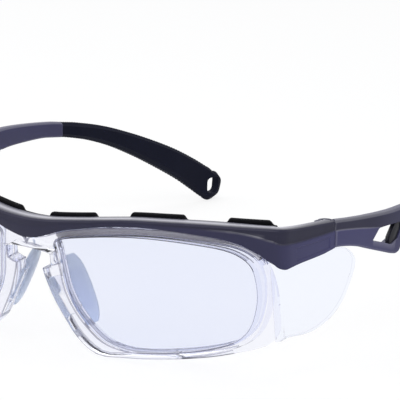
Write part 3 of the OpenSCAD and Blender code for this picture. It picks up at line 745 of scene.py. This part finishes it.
def wall_at(q):
    return BAR_WALL + (END_T - BAR_WALL) * ease((q - 1.5) / 0.3)


CORNER_D = min(SHELF_D, CORNER_R - 1.2)
NECK_START, NECK_DEEP = 1.957, 0.3


def depth_at(q):
    if q < 1:
        return SHELF_D + (CORNER_D - SHELF_D) * ease((q - 0.86) / 0.14)
    return CORNER_D + (END_T - CORNER_D) * ease((q - 1) / 0.5)


def bar_section(q):
    """Ring round the bar at place q: up the face, over the shelf and down inside."""
    lo, hi = along(BAR_LOW, q), along(BAR_TOP, q)
    cr = lo + (hi - lo) * along(BAR_CREASE, q)
    back = 0.25 * CREASE + 0.75 * CREASE * ease((q - 0.6) / 0.3)
    w, d, solid, s = wall_at(q), depth_at(q), ease((q - 1.4) / 0.3), hi - SHELF_T
    face = cr - 0.25 - lo
    neck = NECK_DEEP if q > NECK_START else 0
    spots = [
        (0.1, lo), (0.06, lo + 0.16 * face), (0.0, lo + 0.5 * face), (0.0, lo + 0.84 * face),
        (0.0, cr - 0.25), (back, cr + 0.25), (back - 0.15 * (0.5 * back - 0.08),
            cr + 0.25 + 0.15 * ((hi - cr) / 2 - 0.25)), (0.5 * back + 0.08, (cr + hi) / 2),
        (0.15, hi - 0.45), (0.6, hi), (1.3, hi), (2.1, hi), (3, hi), (d, hi),
        (d, s + 0.15 + 0.3 * solid),
        (w + 0.02 * (d - w), s), (w, s - 0.1 - 0.3 * solid),
        (w, min(cr + 0.3, s - 0.2 - 0.7 * solid)), (w, min(cr, s - 0.4 - 0.6 * solid)), (w, lo),
    ]
    return [bar_point(q, max(deep, neck), z) for deep, z in spots]


def panel_face(face):
    """True on the faces of the plain panel on each end piece's outer side."""
    centre = face.calc_center_median() / MM
    if abs(centre.x) < HALF_W or abs(face.normal.x) < 0.8 or face.normal.x * centre.x < 0:
        return False
    q = bar_place(centre)
    if not 1.3 < q < 1.9:
        return False
    low = LEAN_Z + along(BAR_LOW, q)
    return 0.16 < (centre.z - low) / (crease_height(q) - low) < 0.84


def hinge_barrel(name, low, high, back, bore):
    """A hinge knuckle: a turned barrel, spun round the pin, with a web to its part."""
    corners = [(bore, low), (BARREL_R, low), (BARREL_R, high), (bore, high)]
    piece = ring_of(name, [HINGE + Vector((r, 0, z)) for r, z in corners])
    bpy.ops.mesh.spin(steps=40, angle=2 * pi, center=HINGE * MM, axis=(0, 0, 1))
    close_up()
    round_edges(piece, BARREL_ROUND, 30)
    web = loft(name + "_web", [[
        HINGE + Vector((x, y, z)) for x, y in (
            (-0.9 * BARREL_R, back * 1.2), (-0.9 * BARREL_R, back * 2.4), (-0.3, back * 4.5),
            (0.9, back * 4.5), (0.9, back * 1.9))] for z in (low, high)])
    combine(piece, web, "UNION")
    return piece


class GLASSES_OT_brow_bar(bpy.types.Operator):
    """Models the dark bar with its crease, shelf, end panels and hinge ears"""

    bl_idname = "glasses.brow_bar"
    bl_label = "Brow Bar"

    def execute(self, context):
        sizes = context.scene.bar_sizes
        places = stations((0, 1, 44), (1, SIDE_Q, 12), (SIDE_Q, NECK_START, 24), (NECK_START, 2, 3))
        places.insert(-3, NECK_START + 0.004)
        bar = loft("brow_bar_shell", mirrored_rows([bar_section(q) for q in places]))
        round_edges(bar, sizes.edge_round, 20)
        mesh = edit(bar, "FACE", "DESELECT")
        pick(mesh, mesh.faces, panel_face)
        bpy.ops.mesh.inset(thickness=0.0002, depth=0)
        bpy.ops.transform.shrink_fatten(value=-sizes.panel_deep)
        leave()
        gap = KNUCKLE_H / 2 + EAR_GAP
        knuckle = drum(BARREL_R + SWING_GAP, -gap, gap)
        for room in (other_side(knuckle, "room"), knuckle):
            combine(bar, room, "DIFFERENCE")
        # painted light and shade along the bar
        tag(bar, "band", bar_band)
        # painted reflection on the bar's top shelf and a painted glint along its crease
        tag(bar, "pale", bar_painted_highlight)
        smooth(bar, 30)
        dress(bar, "shell")
        hand_over(bar, "root", "navy_shell", "brow_bar")
        for level, low, bore in (("upper", gap, HEAD_D), ("lower", -gap - EAR_H, INSERT_D)):
            ear = hinge_barrel(f"hinge_ear_{level}_left", low, low + EAR_H, -1, bore / 2 + FIT)
            # a fixed share of painted light on the hinge ears
            tag(ear, "band", lambda p, n: 0.3)
            # no painted highlight on the hinge ears
            tag(ear, "pale", lambda p, n: 0)
            for piece, _ in both(ear):
                smooth(piece)
                dress(piece, "shell")
                hand_over(piece, "root", "navy_shell")
        return {"FINISHED"}


def bar_place_finder():
    """Points along the bar, to look up the place of any other point on it."""
    spots = [(q / 100, deep, z) for q in range(201) for deep in (0, 2, 4) for z in range(-3, 13)]
    tree = tree_of([bar_point(*spot) for spot in spots])
    return lambda p: spots[tree.find((abs(p.x), p.y, p.z))[1]][0]


bar_place = bar_place_finder()


def crease_height(q):
    lo, hi = along(BAR_LOW, q), along(BAR_TOP, q)
    return LEAN_Z + lo + (hi - lo) * along(BAR_CREASE, q)


def bar_band(place, normal):
    """Painted light and shade on the bar: painted shade above the crease, and painted light below
    it, bluer towards the hinges where the faces turn to the light.
    """
    q = bar_place(place)
    if place.z > crease_height(q) + 0.05:
        return 0.08
    return along([(0, 0.12), (0.45, 0.16), (0.7, 0.3), (1, 0.36), (1.25, 0.75), (2, 0.95)], q)


def bar_painted_highlight(place, normal):
    """Painted highlight on the bar: a painted reflection on its top shelf, and a painted glint
    along the crease before the corner.
    """
    q = bar_place(place)
    face = bar_point(q, 0, place.z - LEAN_Z)
    deep = hypot(abs(place.x) - face.x, place.y - face.y)
    shelf = 0
    if normal.z > 0.5:
        shelf = along([(0.5, 0), (1.3, 0.06), (2.1, 0.36), (3, 0.72), (4.2, 0.95), (5, 1)], deep)
        shelf *= along([(0, 1), (1.1, 1), (1.4, 0.8), (1.6, 0.6), (2, 0.3)], q)
    near = 1 - abs(place.z - crease_height(q) - 0.1) / 0.3
    glint = along([(0.75, 0), (0.88, 0.25), (0.98, 0.3), (1.06, 0.08), (2, 0.04)], q) * ease(near)
    return max(shelf, glint) if normal.y < 0.3 else 0


def arm_painted_highlight(place, normal):
    """Painted highlight on an arm: along its upper edge, and on the rim where it meets the bar."""
    start = 1 - ease((place.y - HINGE.y - 0.3) / 0.25)
    return max(0.14 * ease((normal.z - 0.3) / 0.4), 0.12 * start)


class GLASSES_OT_brow_cushion(bpy.types.Operator):
    """Models the foam strip with its raised blocks"""

    bl_idname = "glasses.brow_cushion"
    bl_label = "Brow Cushion"

    def execute(self, context):
        end = HALF_W + 0.9
        blocks = []
        for i in range(3):
            a = BLOCK_GAP / 2 + i * (BLOCK_LEN + BLOCK_GAP)
            blocks.append((a, min(a + BLOCK_LEN, end - 0.8)))

        def lifted(x):
            return max(ease(min(x - a, b - x) / 0.9) for a, b in blocks)

        rows = []
        for k in range(181):
            x = end * k / 180
            q = x / HALF_W
            hi = along(BAR_TOP, q)
            top, low = hi - 0.4 + (BLOCK_H + 0.4) * lifted(x), hi - CUSHION_H
            a = max(SHELF_D, BAR_PROUD + RIM_T) + 2 * FIT
            b = a + CUSHION_T
            m = (a + b) / 2
            draw = 0.22 * (1 - ease((end - x) / 1.2))
            spots = [
                (a + draw, low + 0.25), (a, low + 0.7), (a, (low + top) / 2), (a, top - 0.55),
                (a + 0.12, top - 0.15), (a + 0.45, top), (m, top + 0.03), (b - 0.5, top),
                (b - 0.12, top - 0.18), (b, top - 0.6), (b, (low + top) / 2), (b - 0.02, low + 0.7),
                (b - 0.3 - draw, low + 0.12), (m, low + 0.02),
            ]
            rows.append([raised(front_plan(q, deep), 1, z) for deep, z in spots])
        cushion = loft("brow_cushion_foam", mirrored_rows(rows))
        modify(cushion, "SUBSURF", levels=1, render_levels=1)
        smooth(cushion, 60)
        dress(cushion, "foam")
        hand_over(cushion, "root", "cushion_foam", "brow_cushion")
        return {"FINISHED"}


LENS_STEPS = 3 * len(LENS_SHAPE)
LENS_CORNERS = [Vector((BRIDGE_W / 2 + a * LENS_W, LENS_TOP - LENS_H + b * LENS_H))
    for a, b, _ in LENS_SHAPE]
RIM_WIDTHS = [w for _, _, w in LENS_SHAPE]


def lens_at(s, out=0.0):
    """A point on the lens edge at s, moved out by a distance in the front's own plane."""
    step = closed_curve(LENS_CORNERS, s + 1 / 3) - closed_curve(LENS_CORNERS, s - 1 / 3)
    return closed_curve(LENS_CORNERS, s) + Vector((step.y, -step.x)).normalized() * out


def rim_at(s, limit=inf):
    """A point on the rim's outline beside s, no further than limit from the lens edge."""
    return lens_at(s, min(closed_curve(RIM_WIDTHS, s), limit))


def rail_height(x):
    return front_height(x, along(BAR_TOP, x / HALF_W)) - SHELF_T - 0.1 - RIM_T * tan(LEAN)


def edge_height(x):
    drop = (BAR_WALL - BAR_PROUD) * tan(LEAN) + 0.08
    lowest = min(along(BAR_LOW, k * x / HALF_W) for k in (1, BAR_R / (BAR_R - BAR_WALL)))
    return front_height(x, lowest) - FIT - drop


def rim_stations():
    """Pairs round one rim: place on the lens edge, and the outline's point beside it."""
    under = rail_height(0) - BRIDGE_H
    outer = rim_at(15)
    high = rail_height(outer.x)
    pairs = [(k / 3, rim_at(k / 3)) for k in range(3, 46)]
    pairs += [(15.35, Vector((outer.x, (outer.y + high) / 2))), (15.7, Vector((outer.x, high)))]
    tops = [(k / 3, min(lens_at(k / 3).x, outer.x - 0.5)) for k in range(48, 68)]
    tops += [(22.67, 7.6), (23.0, 5.2), (23.25, 2.6), (23.5, 0)]
    pairs += [(s, Vector((x, rail_height(x)))) for s, x in tops]
    for s, share in ((23.7, 0.75), (23.9, 0.5), (24.1, 0.25), (24.25, 0)):
        pairs.append((s, Vector((0, under + BRIDGE_H * share))))
    for s, share, z in ((24.36, 0.2, 0.05), (24.45, 0.34, 0.2), (24.55, 0.42, -0.8),
            (24.7, 0.42, -2.5), (24.82, 0.42, -4.2), (24.92, 0.33, -4.8)):
        pairs.append((s, Vector((share * BRIDGE_W, under + z))))
    return pairs


def rim_section(s, outer):
    """Ring round the rim's section at one station: front, outside, back and lens groove."""
    hole, groove, wall = lens_at(s, -LENS_BITE), lens_at(s, FIT), rim_at(s, RIM_WALL)
    run = outer - hole
    steps = 40
    share = 1.0
    for k in range(steps + 1):
        p = hole + run * (k / steps)
        if p.y > edge_height(abs(p.x)):
            share = k / steps
            break
    edge = hole + run * share
    recess = BAR_WALL - BAR_PROUD + FIT if share < 1 else 0
    front = 0 if share > 0 else recess
    margin = (outer.x > BRIDGE_W / 2 + LENS_W / 2 and outer.y < 1
        and (outer - wall).length > 0.3)
    back = MARGIN_T if margin else RIM_T
    foot = wall if margin else (hole + outer) / 2
    groove_back = FRONT_LIP + LENS_T + 2 * FIT
    inner = hole + run * min(share, (wall - hole).length / run.length)
    spots = [
        (hole, front), (inner, front), (edge, front), (edge, recess), (outer, recess),
        (outer, back), (foot, back), (foot, RIM_T), (hole, RIM_T), (hole, groove_back),
        (groove, groove_back), (groove, FRONT_LIP), (hole, FRONT_LIP),
    ]
    return [leaning(p.x, p.y, deep) for p, deep in spots]


# Strips round the rim's section, between spots of its ring. Spots 6 and 7 are often one
GROOVE_SPOTS = ((8, 9), (9, 10), (10, 11), (11, 12))
MARGIN_SPOTS = ((1, 2), (4, 5), (5, 6), (6, 7))
WALL_SPOTS = ((4, 5),)
TOP_SPOTS = ((5, 6), (5, 7), (5, 6, 7), (6, 7), (6, 8), (7, 8), (6, 7, 8), (8, 9), (9, 10))
# Where those finishes start or end, as shares of the lens's width and heights
MARGIN_START, NOSE_END, MARGIN_TOP, NOSE_TOP, PAINTED_SHEET_LOW = 0.84, 0.3, 1, -2, 1.5
# Slots of the clear front, with painted shade along the rounded edges and beside the nose, and a
# pale sheet of painted light under the bar
FRONT_LOOKS = ("clear", "edge", "soft", "wall", "frost")
EDGE, SOFT, SHADED_WALL, PAINTED_SHEET = range(1, 5)


def on_margin(centre):
    """True beside the lens, on the plate that carries the shield."""
    out = abs(centre.x) > BRIDGE_W / 2 + MARGIN_START * LENS_W
    return out and centre.z < LEAN_Z + MARGIN_TOP


def beside_nose(centre):
    near = abs(centre.x) < BRIDGE_W / 2 + NOSE_END * LENS_W
    return near and centre.z < LEAN_Z + NOSE_TOP


# where the pale sheet of painted light starts on the rims' back
def under_bar(centre):
    return centre.z > LEAN_Z + PAINTED_SHEET_LOW


def paint_front(front):
    """Softens the inner faces of the clear front, puts a pale sheet of painted light on its back
    under the bar, and paints shade on the wall beside the nose.
    """
    for slot, strips, where in ((SOFT, GROOVE_SPOTS, None), (PAINTED_SHEET, TOP_SPOTS, under_bar),
            (SOFT, MARGIN_SPOTS, on_margin), (SHADED_WALL, WALL_SPOTS, beside_nose)):
        paint(front, slot, lambda f, centre, spots: spots in strips
            and (where is None or where(centre)))


def calm_edges(front):
    """On the outer margin, only the front edge of the lens hole keeps its painted edge shade."""
    hole = [leaning(*lens_at(k / 12, -LENS_BITE), 0) for k in range(12 * len(LENS_SHAPE))]
    tree = tree_of(hole)
    paint(front, SOFT, lambda f, centre, spots: f.material_index == EDGE and on_margin(centre)
        and tree.find((abs(centre.x), centre.y, centre.z))[2] > 0.5)


def nose_fin():
    """The left fin that a nose pad sits on."""
    outline = ((-FIN_T / 2, -FIN_REACH), (FIN_T / 2, -FIN_REACH),
        (FIN_T / 2, PAD_W / 2 - 1.6), (-FIN_T / 2, PAD_W / 2 - 1.6))
    fin = loft("fin_left", [[at_pad(x, y, z) for x, y in outline] for z in (-FIN_H / 2, FIN_H / 2)])
    round_edges(fin, FIN_ROUND, 30)
    dress(fin, "clear")
    return fin


def lens_sheet(chamfer):
    """The left lens, lofted from its middle over the front, the edge and the back."""
    middle = Vector((BRIDGE_W / 2 + LENS_W / 2, LENS_TOP - LENS_H / 2))
    inner = (0.03, 0.2, 0.4, 0.6, 0.8, 0.93)
    profile = [(share, chamfer, 0) for share in inner]
    profile += [(1, chamfer, 0), (1, 0, chamfer), (1, 0, LENS_T - chamfer), (1, chamfer, LENS_T)]
    profile += [(share, chamfer, LENS_T) for share in reversed(inner)]
    rings = [[
        leaning(*(middle + (lens_at(k / 3, -inset) - middle) * share), FRONT_LIP + FIT + deep)
        for k in range(LENS_STEPS)] for share, inset, deep in profile]
    lens = loft("lens_left_sheet", rings)
    dress(lens, "lens", "soft")
    paint(lens, 1, lambda f, centre, spots: abs(f.normal.dot(inward(centre))) < 0.85)
    return lens


PAD_MID = Vector((BRIDGE_W / 2 + 1.1, RIM_T + 7.3, LEAN_Z - 14.2))
PAD_TURN = Euler((radians(11), radians(-24), radians(-24)), "XYZ").to_matrix()


def at_pad(x, y, z):
    return PAD_TURN @ Vector((x, y, z)) + PAD_MID + Vector((0, SHIFT_Y, 0))


class GLASSES_OT_clear_front(bpy.types.Operator):
    """Models the clear rims, bridge and pad fins in one piece, and the lenses"""

    bl_idname = "glasses.clear_front"
    bl_label = "Clear Front and Lenses"

    def execute(self, context):
        sizes = context.scene.front_sizes
        rings = [rim_section(s, outer) for s, outer in rim_stations()]
        front = loft("clear_front_frame", rings + [rings[0]], capped=False)
        mesh = edit(front, "FACE", "DESELECT")
        pick(mesh, mesh.faces, lambda f: all(abs(v.co.x) < 1e-6 for v in f.verts))
        bpy.ops.mesh.delete(type="FACE")
        leave()
        modify(front, "MIRROR", use_axis=(True, False, False), merge_threshold=1e-5)
        edit(front)
        close_up(2e-6)
        dress(front, *FRONT_LOOKS)
        paint_front(front)
        # the rounded edges get the painted edge shade
        round_edges(front, sizes.edge_round, 35, material=EDGE, use_clamp_overlap=False)
        calm_edges(front)
        for fin, _ in both(nose_fin()):
            combine(front, fin, "UNION")
        smooth(front, 40)
        hand_over(front, "root", "clear_rims", "front_frame")
        for piece, side in both(lens_sheet(sizes.lens_edge / MM)):
            smooth(piece, 30)
            hand_over(piece, "root", "lens_clear", f"lens_{side}")
        return {"FINISHED"}


def shield_rings():
    """Rings round the left shield, from the front to the back: up outside and down inside."""
    shield_in = BAR_PROUD + MARGIN_T + FIT
    widest = max(rim_at(k / 3, RIM_WALL).x for k in range(LENS_STEPS))
    start = (widest + 0.15) * BAR_R / (BAR_R - shield_in - SHIELD_T) / HALF_W
    end = 2 + SHIELD_BACK / END_LEN * (2 - SIDE_Q)
    rings = []
    for q in stations((start, 1, 5), (1, SIDE_Q, 14), (SIDE_Q, 2, 14), (2, end, 18)):
        at = q if q <= 2 else 2 + (q - 2) * (SHIELD_LOW[-1][0] - 2) / (end - 2)
        lo, hi = along(SHIELD_LOW, at) * SHIELD_DROP, along(SHIELD_TOP, at)
        up = [(shield_in, k / 16) for k in range(17)]
        down = [(shield_in + SHIELD_T, v) for _, v in reversed(up)]
        ring = []
        for deep, v in up + down:
            curl = SHIELD_CURL * (1 - v) ** 2 * ease((q - 0.95) / 0.3)
            ring.append(bar_point(q, deep + curl, lo + (hi - lo) * v))
        rings.append(ring)
    return rings


class GLASSES_OT_side_shields(bpy.types.Operator):
    """Models the clear side shields"""

    bl_idname = "glasses.side_shields"
    bl_label = "Side Shields"

    def execute(self, context):
        rings = shield_rings()
        shield = loft("side_shield_left_clear", rings)
        dress(shield, "shield", "shield_edge", "soft")
        # the shields' rounded edges get the painted edge shade
        round_edges(shield, SHIELD_ROUND, 45, segments=3, material=1)
        paint(shield, 2, lambda f, centre, spots: abs(centre.x) < rings[1][0].x)
        for piece, side in both(shield):
            smooth(piece, 40)
            hand_over(piece, "root", "clear_shield", f"side_shield_{side}")
        return {"FINISHED"}


PAD_ROWS, PAD_SIDES, PAD_POWER = 24, 28, 2.6


def pad_ring(v):
    """Ring round a pad at share v of its height."""
    s = (1 - abs(2 * v - 1) ** PAD_POWER) ** (1 / PAD_POWER)
    turns = [-2 * pi * k / PAD_SIDES for k in range(PAD_SIDES)]
    return [at_pad(
        PAD_T / 2 * s * copysign(abs(cos(a)) ** 0.9, cos(a)),
        PAD_W / 2 * s * copysign(abs(sin(a)) ** 0.8, sin(a)),
        PAD_H * (v - 0.5)) for a in turns]


class GLASSES_OT_nose_pads(bpy.types.Operator):
    """Models the soft nose pads on the front's fins"""

    bl_idname = "glasses.nose_pads"
    bl_label = "Nose Pads"

    def execute(self, context):
        rings = [pad_ring(0.02 + 0.96 * (1 - cos(pi * i / PAD_ROWS)) / 2)
            for i in range(PAD_ROWS + 1)]
        pad = loft("nose_pad_left_silicone", rings)
        dress(pad, "pad")
        for piece, side in both(pad):
            smooth(piece, 60)
            hand_over(piece, "root", "pad_silicone", f"nose_pad_{side}")
        return {"FINISHED"}


class GLASSES_OT_temples(bpy.types.Operator):
    """Models the temple arms with their windows, the inlays and the soft tips"""

    bl_idname = "glasses.temples"
    bl_label = "Temples"

    def execute(self, context):
        sizes = context.scene.temple_sizes
        window_y, window_z = HINGE.y + WINDOW_BACK, HINGE.z - WINDOW_DROP
        end = WINDOW_LEN + INLAY_LEN
        outline = [(0, 0.6), (0.3 * end, -0.3), (0.66 * end, -1.9), (0.87 * end, -0.9),
            (end, 1.8), (end - 0.3, WINDOW_H), (2.9, WINDOW_H)]
        rings = [
            temple_section(u, arm_thick(u), 0.6, CREASE * (1 - 0.6 * ease((u - 0.08) / 0.1)))
            for u in stations((0.15 / REACH, 0.2, 48), (0.2, 0.25, 24), (0.25, ARM_END, 30))
        ]
        arm = loft("temple_arm_left_shell", rings)
        round_edges(arm, sizes.edge_round, 25)
        combine(arm, side_cutter([(window_y + a, window_z + b) for a, b in outline], 0.45),
            "DIFFERENCE")
        for low, high in ((KNUCKLE_H / 2, TEMPLE_H), (-TEMPLE_H, -KNUCKLE_H / 2)):
            combine(arm, drum(BARREL_R + SWING_GAP, low, high), "DIFFERENCE")
        combine(arm, hinge_barrel("knuckle", -KNUCKLE_H / 2, KNUCKLE_H / 2, 1, SCREW_D / 2 + FIT),
            "UNION")
        # painted light and shade along the arm
        tag(arm, "band", arm_band)
        # painted highlight on the arm's upper edge and the rim at the hinge
        tag(arm, "pale", arm_painted_highlight)
        rings = []
        ribbed = RIBS_END - ARM_END
        ribs = round(REACH * ribbed / (sizes.rib_pitch / MM)) * 2
        for k in range(ribs + 1):
            u = ARM_END + ribbed * k / ribs
            rings.append(tip_section(u, sizes.rib_deep / MM * (k % 2) * ease((u - ARM_END) / 0.03)))
        rings += [tip_section(u) for u in stations((0.954, TIP_END, 3))]
        rings += [tip_end(k) for k in range(1, TIP_STEPS + 1)]
        tip = loft("temple_tip_left_rubber", rings)
        m, _ = tip_middle()
        a, b = SLOT_LEN / 2, SLOT_H / 2
        outline = [(m.y + 0.5 + y, m.z + 0.2 + z) for y, z in ((-a, -b), (a, -b), (a, b), (-a, b))]
        combine(tip, side_cutter(outline, SLOT_R, 8), "DIFFERENCE")
        inlay = take_copy("temple_inlay_left", "window_inlay_left")
        round_edges(inlay, BARREL_ROUND, 40)
        for left, look, slot, node in ((arm, "shell", "navy_shell", "temple_arm"),
                (tip, "rubber", "tip_rubber", "temple_tip"),
                (inlay, "trim", "black_trim", "temple_inlay")):
            dress(left, look)
            for piece, side in both(left):
                smooth(piece, 35)
                hand_over(piece, f"temple_{side}", slot, f"{node}_{side}")
        return {"FINISHED"}


def arm_band(place, normal):
    """Painted light and shade on an arm: painted shade above its crease and painted light, bluer,
    below it near the hinge; its inner face gets an even share.
    """
    u = (place.y - HINGE.y) / REACH
    low, high = temple_point(TEMPLE_LOW, u), temple_point(TEMPLE_TOP, u)
    fading = ease((u - 0.1) / 0.2)
    if normal.x * place.x < 0:
        return 0.6
    under = place.z < low.z + (high.z - low.z) * ARM_CREASE
    return (1 if under else 0.15) * (1 - fading) + 0.55 * fading


class GLASSES_OT_hardware(bpy.types.Operator):
    """Finishes the screws and inserts, whose shapes stay as they are"""

    bl_idname = "glasses.hardware"
    bl_label = "Screws and Inserts"

    def execute(self, context):
        looks = {"bar_screws": "steel", "hinge_screw": "steel", "hinge_insert": "brass"}
        for name, node in frame["nodes"].items():
            for start, look in looks.items():
                if name.startswith(start):
                    dress(node, look)
        return {"FINISHED"}


# Lamps: name, place, size in metres and power in watts
LAMPS = (("key_lamp", (0.5, -0.7, 0.9), 0.7, 5), ("top_lamp", (-0.2, 0.1, 1.0), 0.9, 4),
    ("fill_lamp", (-0.8, -0.6, 0.5), 0.8, 2.4))
LAMP_AIM = Vector((0, 0, 0.02))
# The camera's place in metres, and its azimuth, elevation and roll in degrees
CAMERA_PLACE = (0.39988, -0.54347, 0.18919)
CAMERA_ANGLES = (36.7416, 13.7211, 1.08477)


class GLASSES_OT_stage(bpy.types.Operator):
    """Sets the white floor, the soft lamps and the camera"""

    bl_idname = "glasses.stage"
    bl_label = "Stage"

    def execute(self, context):
        scene = context.scene
        sizes = scene.stage_sizes
        clear_selection()
        bpy.ops.mesh.primitive_plane_add(size=sizes.floor_size, location=(0, 0, -0.0001))
        floor = context.active_object
        floor.name = "floor"
        colour = tuple(sizes.floor_colour) + (1.0,)
        f = Finish("white_floor")
        lit = f.node("ShaderNodeBsdfDiffuse", {"Color": colour})
        glow = f.node("ShaderNodeEmission", {"Color": colour, "Strength": 1.0})
        floor.data.materials.append(f.done(f.mixed(f.seen() * 0.8, lit, glow)))

        scene.world = bpy.data.worlds.new("studio")
        f = Finish("studio", scene.world)
        soft = f.node("ShaderNodeBackground", {
            "Color": (0.95, 0.97, 1.0, 1.0), "Strength": 0.5})
        white = f.node("ShaderNodeBackground", {"Color": colour, "Strength": 1.0})
        f.done(f.mixed(f.seen(), soft, white))

        for name, place, size, power in LAMPS:
            data = bpy.data.lights.new(name, "AREA")
            data.size, data.energy = size, power
            lamp = bpy.data.objects.new(name, data)
            scene.collection.objects.link(lamp)
            lamp.location = place
            aim = LAMP_AIM - Vector(place)
            lamp.rotation_euler = aim.to_track_quat("-Z", "Y").to_euler()

        data = bpy.data.cameras.new("camera")
        camera = bpy.data.objects.new("camera", data)
        scene.collection.objects.link(camera)
        data.lens, data.sensor_width = sizes.lens, 36
        data.clip_start, data.clip_end = 0.01, 50
        camera.location = CAMERA_PLACE
        camera.rotation_euler = camera_turn(*CAMERA_ANGLES)
        scene.camera = camera
        scene.view_settings.view_transform = "Standard"
        scene.cycles.max_bounces = 32
        scene.cycles.glossy_bounces = scene.cycles.transmission_bounces = 24
        return {"FINISHED"}


def camera_turn(azimuth, elevation, roll):
    turns = ((azimuth, "Z"), (90 - elevation, "X"), (roll, "Z"))
    first, then, last = (Matrix.Rotation(radians(d), 3, axis) for d, axis in turns)
    return (first @ then @ last).to_euler()


OPERATORS = (
    GLASSES_OT_brow_bar, GLASSES_OT_brow_cushion, GLASSES_OT_clear_front,
    GLASSES_OT_side_shields, GLASSES_OT_nose_pads, GLASSES_OT_temples,
    GLASSES_OT_hardware, GLASSES_OT_stage,
)
GROUPS = {"bar_sizes": BarSizes, "front_sizes": FrontSizes, "temple_sizes": TempleSizes,
    "stage_sizes": StageSizes}


class GLASSES_PT_panel(bpy.types.Panel):
    """The pieces of the safety glasses"""

    bl_label = "Safety Glasses"
    bl_idname = "GLASSES_PT_panel"
    bl_space_type = "VIEW_3D"
    bl_region_type = "UI"
    bl_category = "Glasses"

    def draw(self, context):
        for operator in OPERATORS:
            self.layout.operator(operator.bl_idname)


CLASSES = (*GROUPS.values(), *OPERATORS, GLASSES_PT_panel)


def register():
    for made in CLASSES:
        bpy.utils.register_class(made)
    for name, group in GROUPS.items():
        setattr(bpy.types.Scene, name, bpy.props.PointerProperty(type=group))


def unregister():
    for name in GROUPS:
        delattr(bpy.types.Scene, name)
    for made in reversed(CLASSES):
        bpy.utils.unregister_class(made)


def main():
    register()
    bpy.ops.glasses.brow_bar()
    bpy.ops.glasses.brow_cushion()
    bpy.ops.glasses.clear_front()
    bpy.ops.glasses.side_shields()
    bpy.ops.glasses.nose_pads()
    bpy.ops.glasses.temples()
    bpy.ops.glasses.hardware()
    bpy.ops.glasses.stage()


if __name__ == "__main__":
    main()
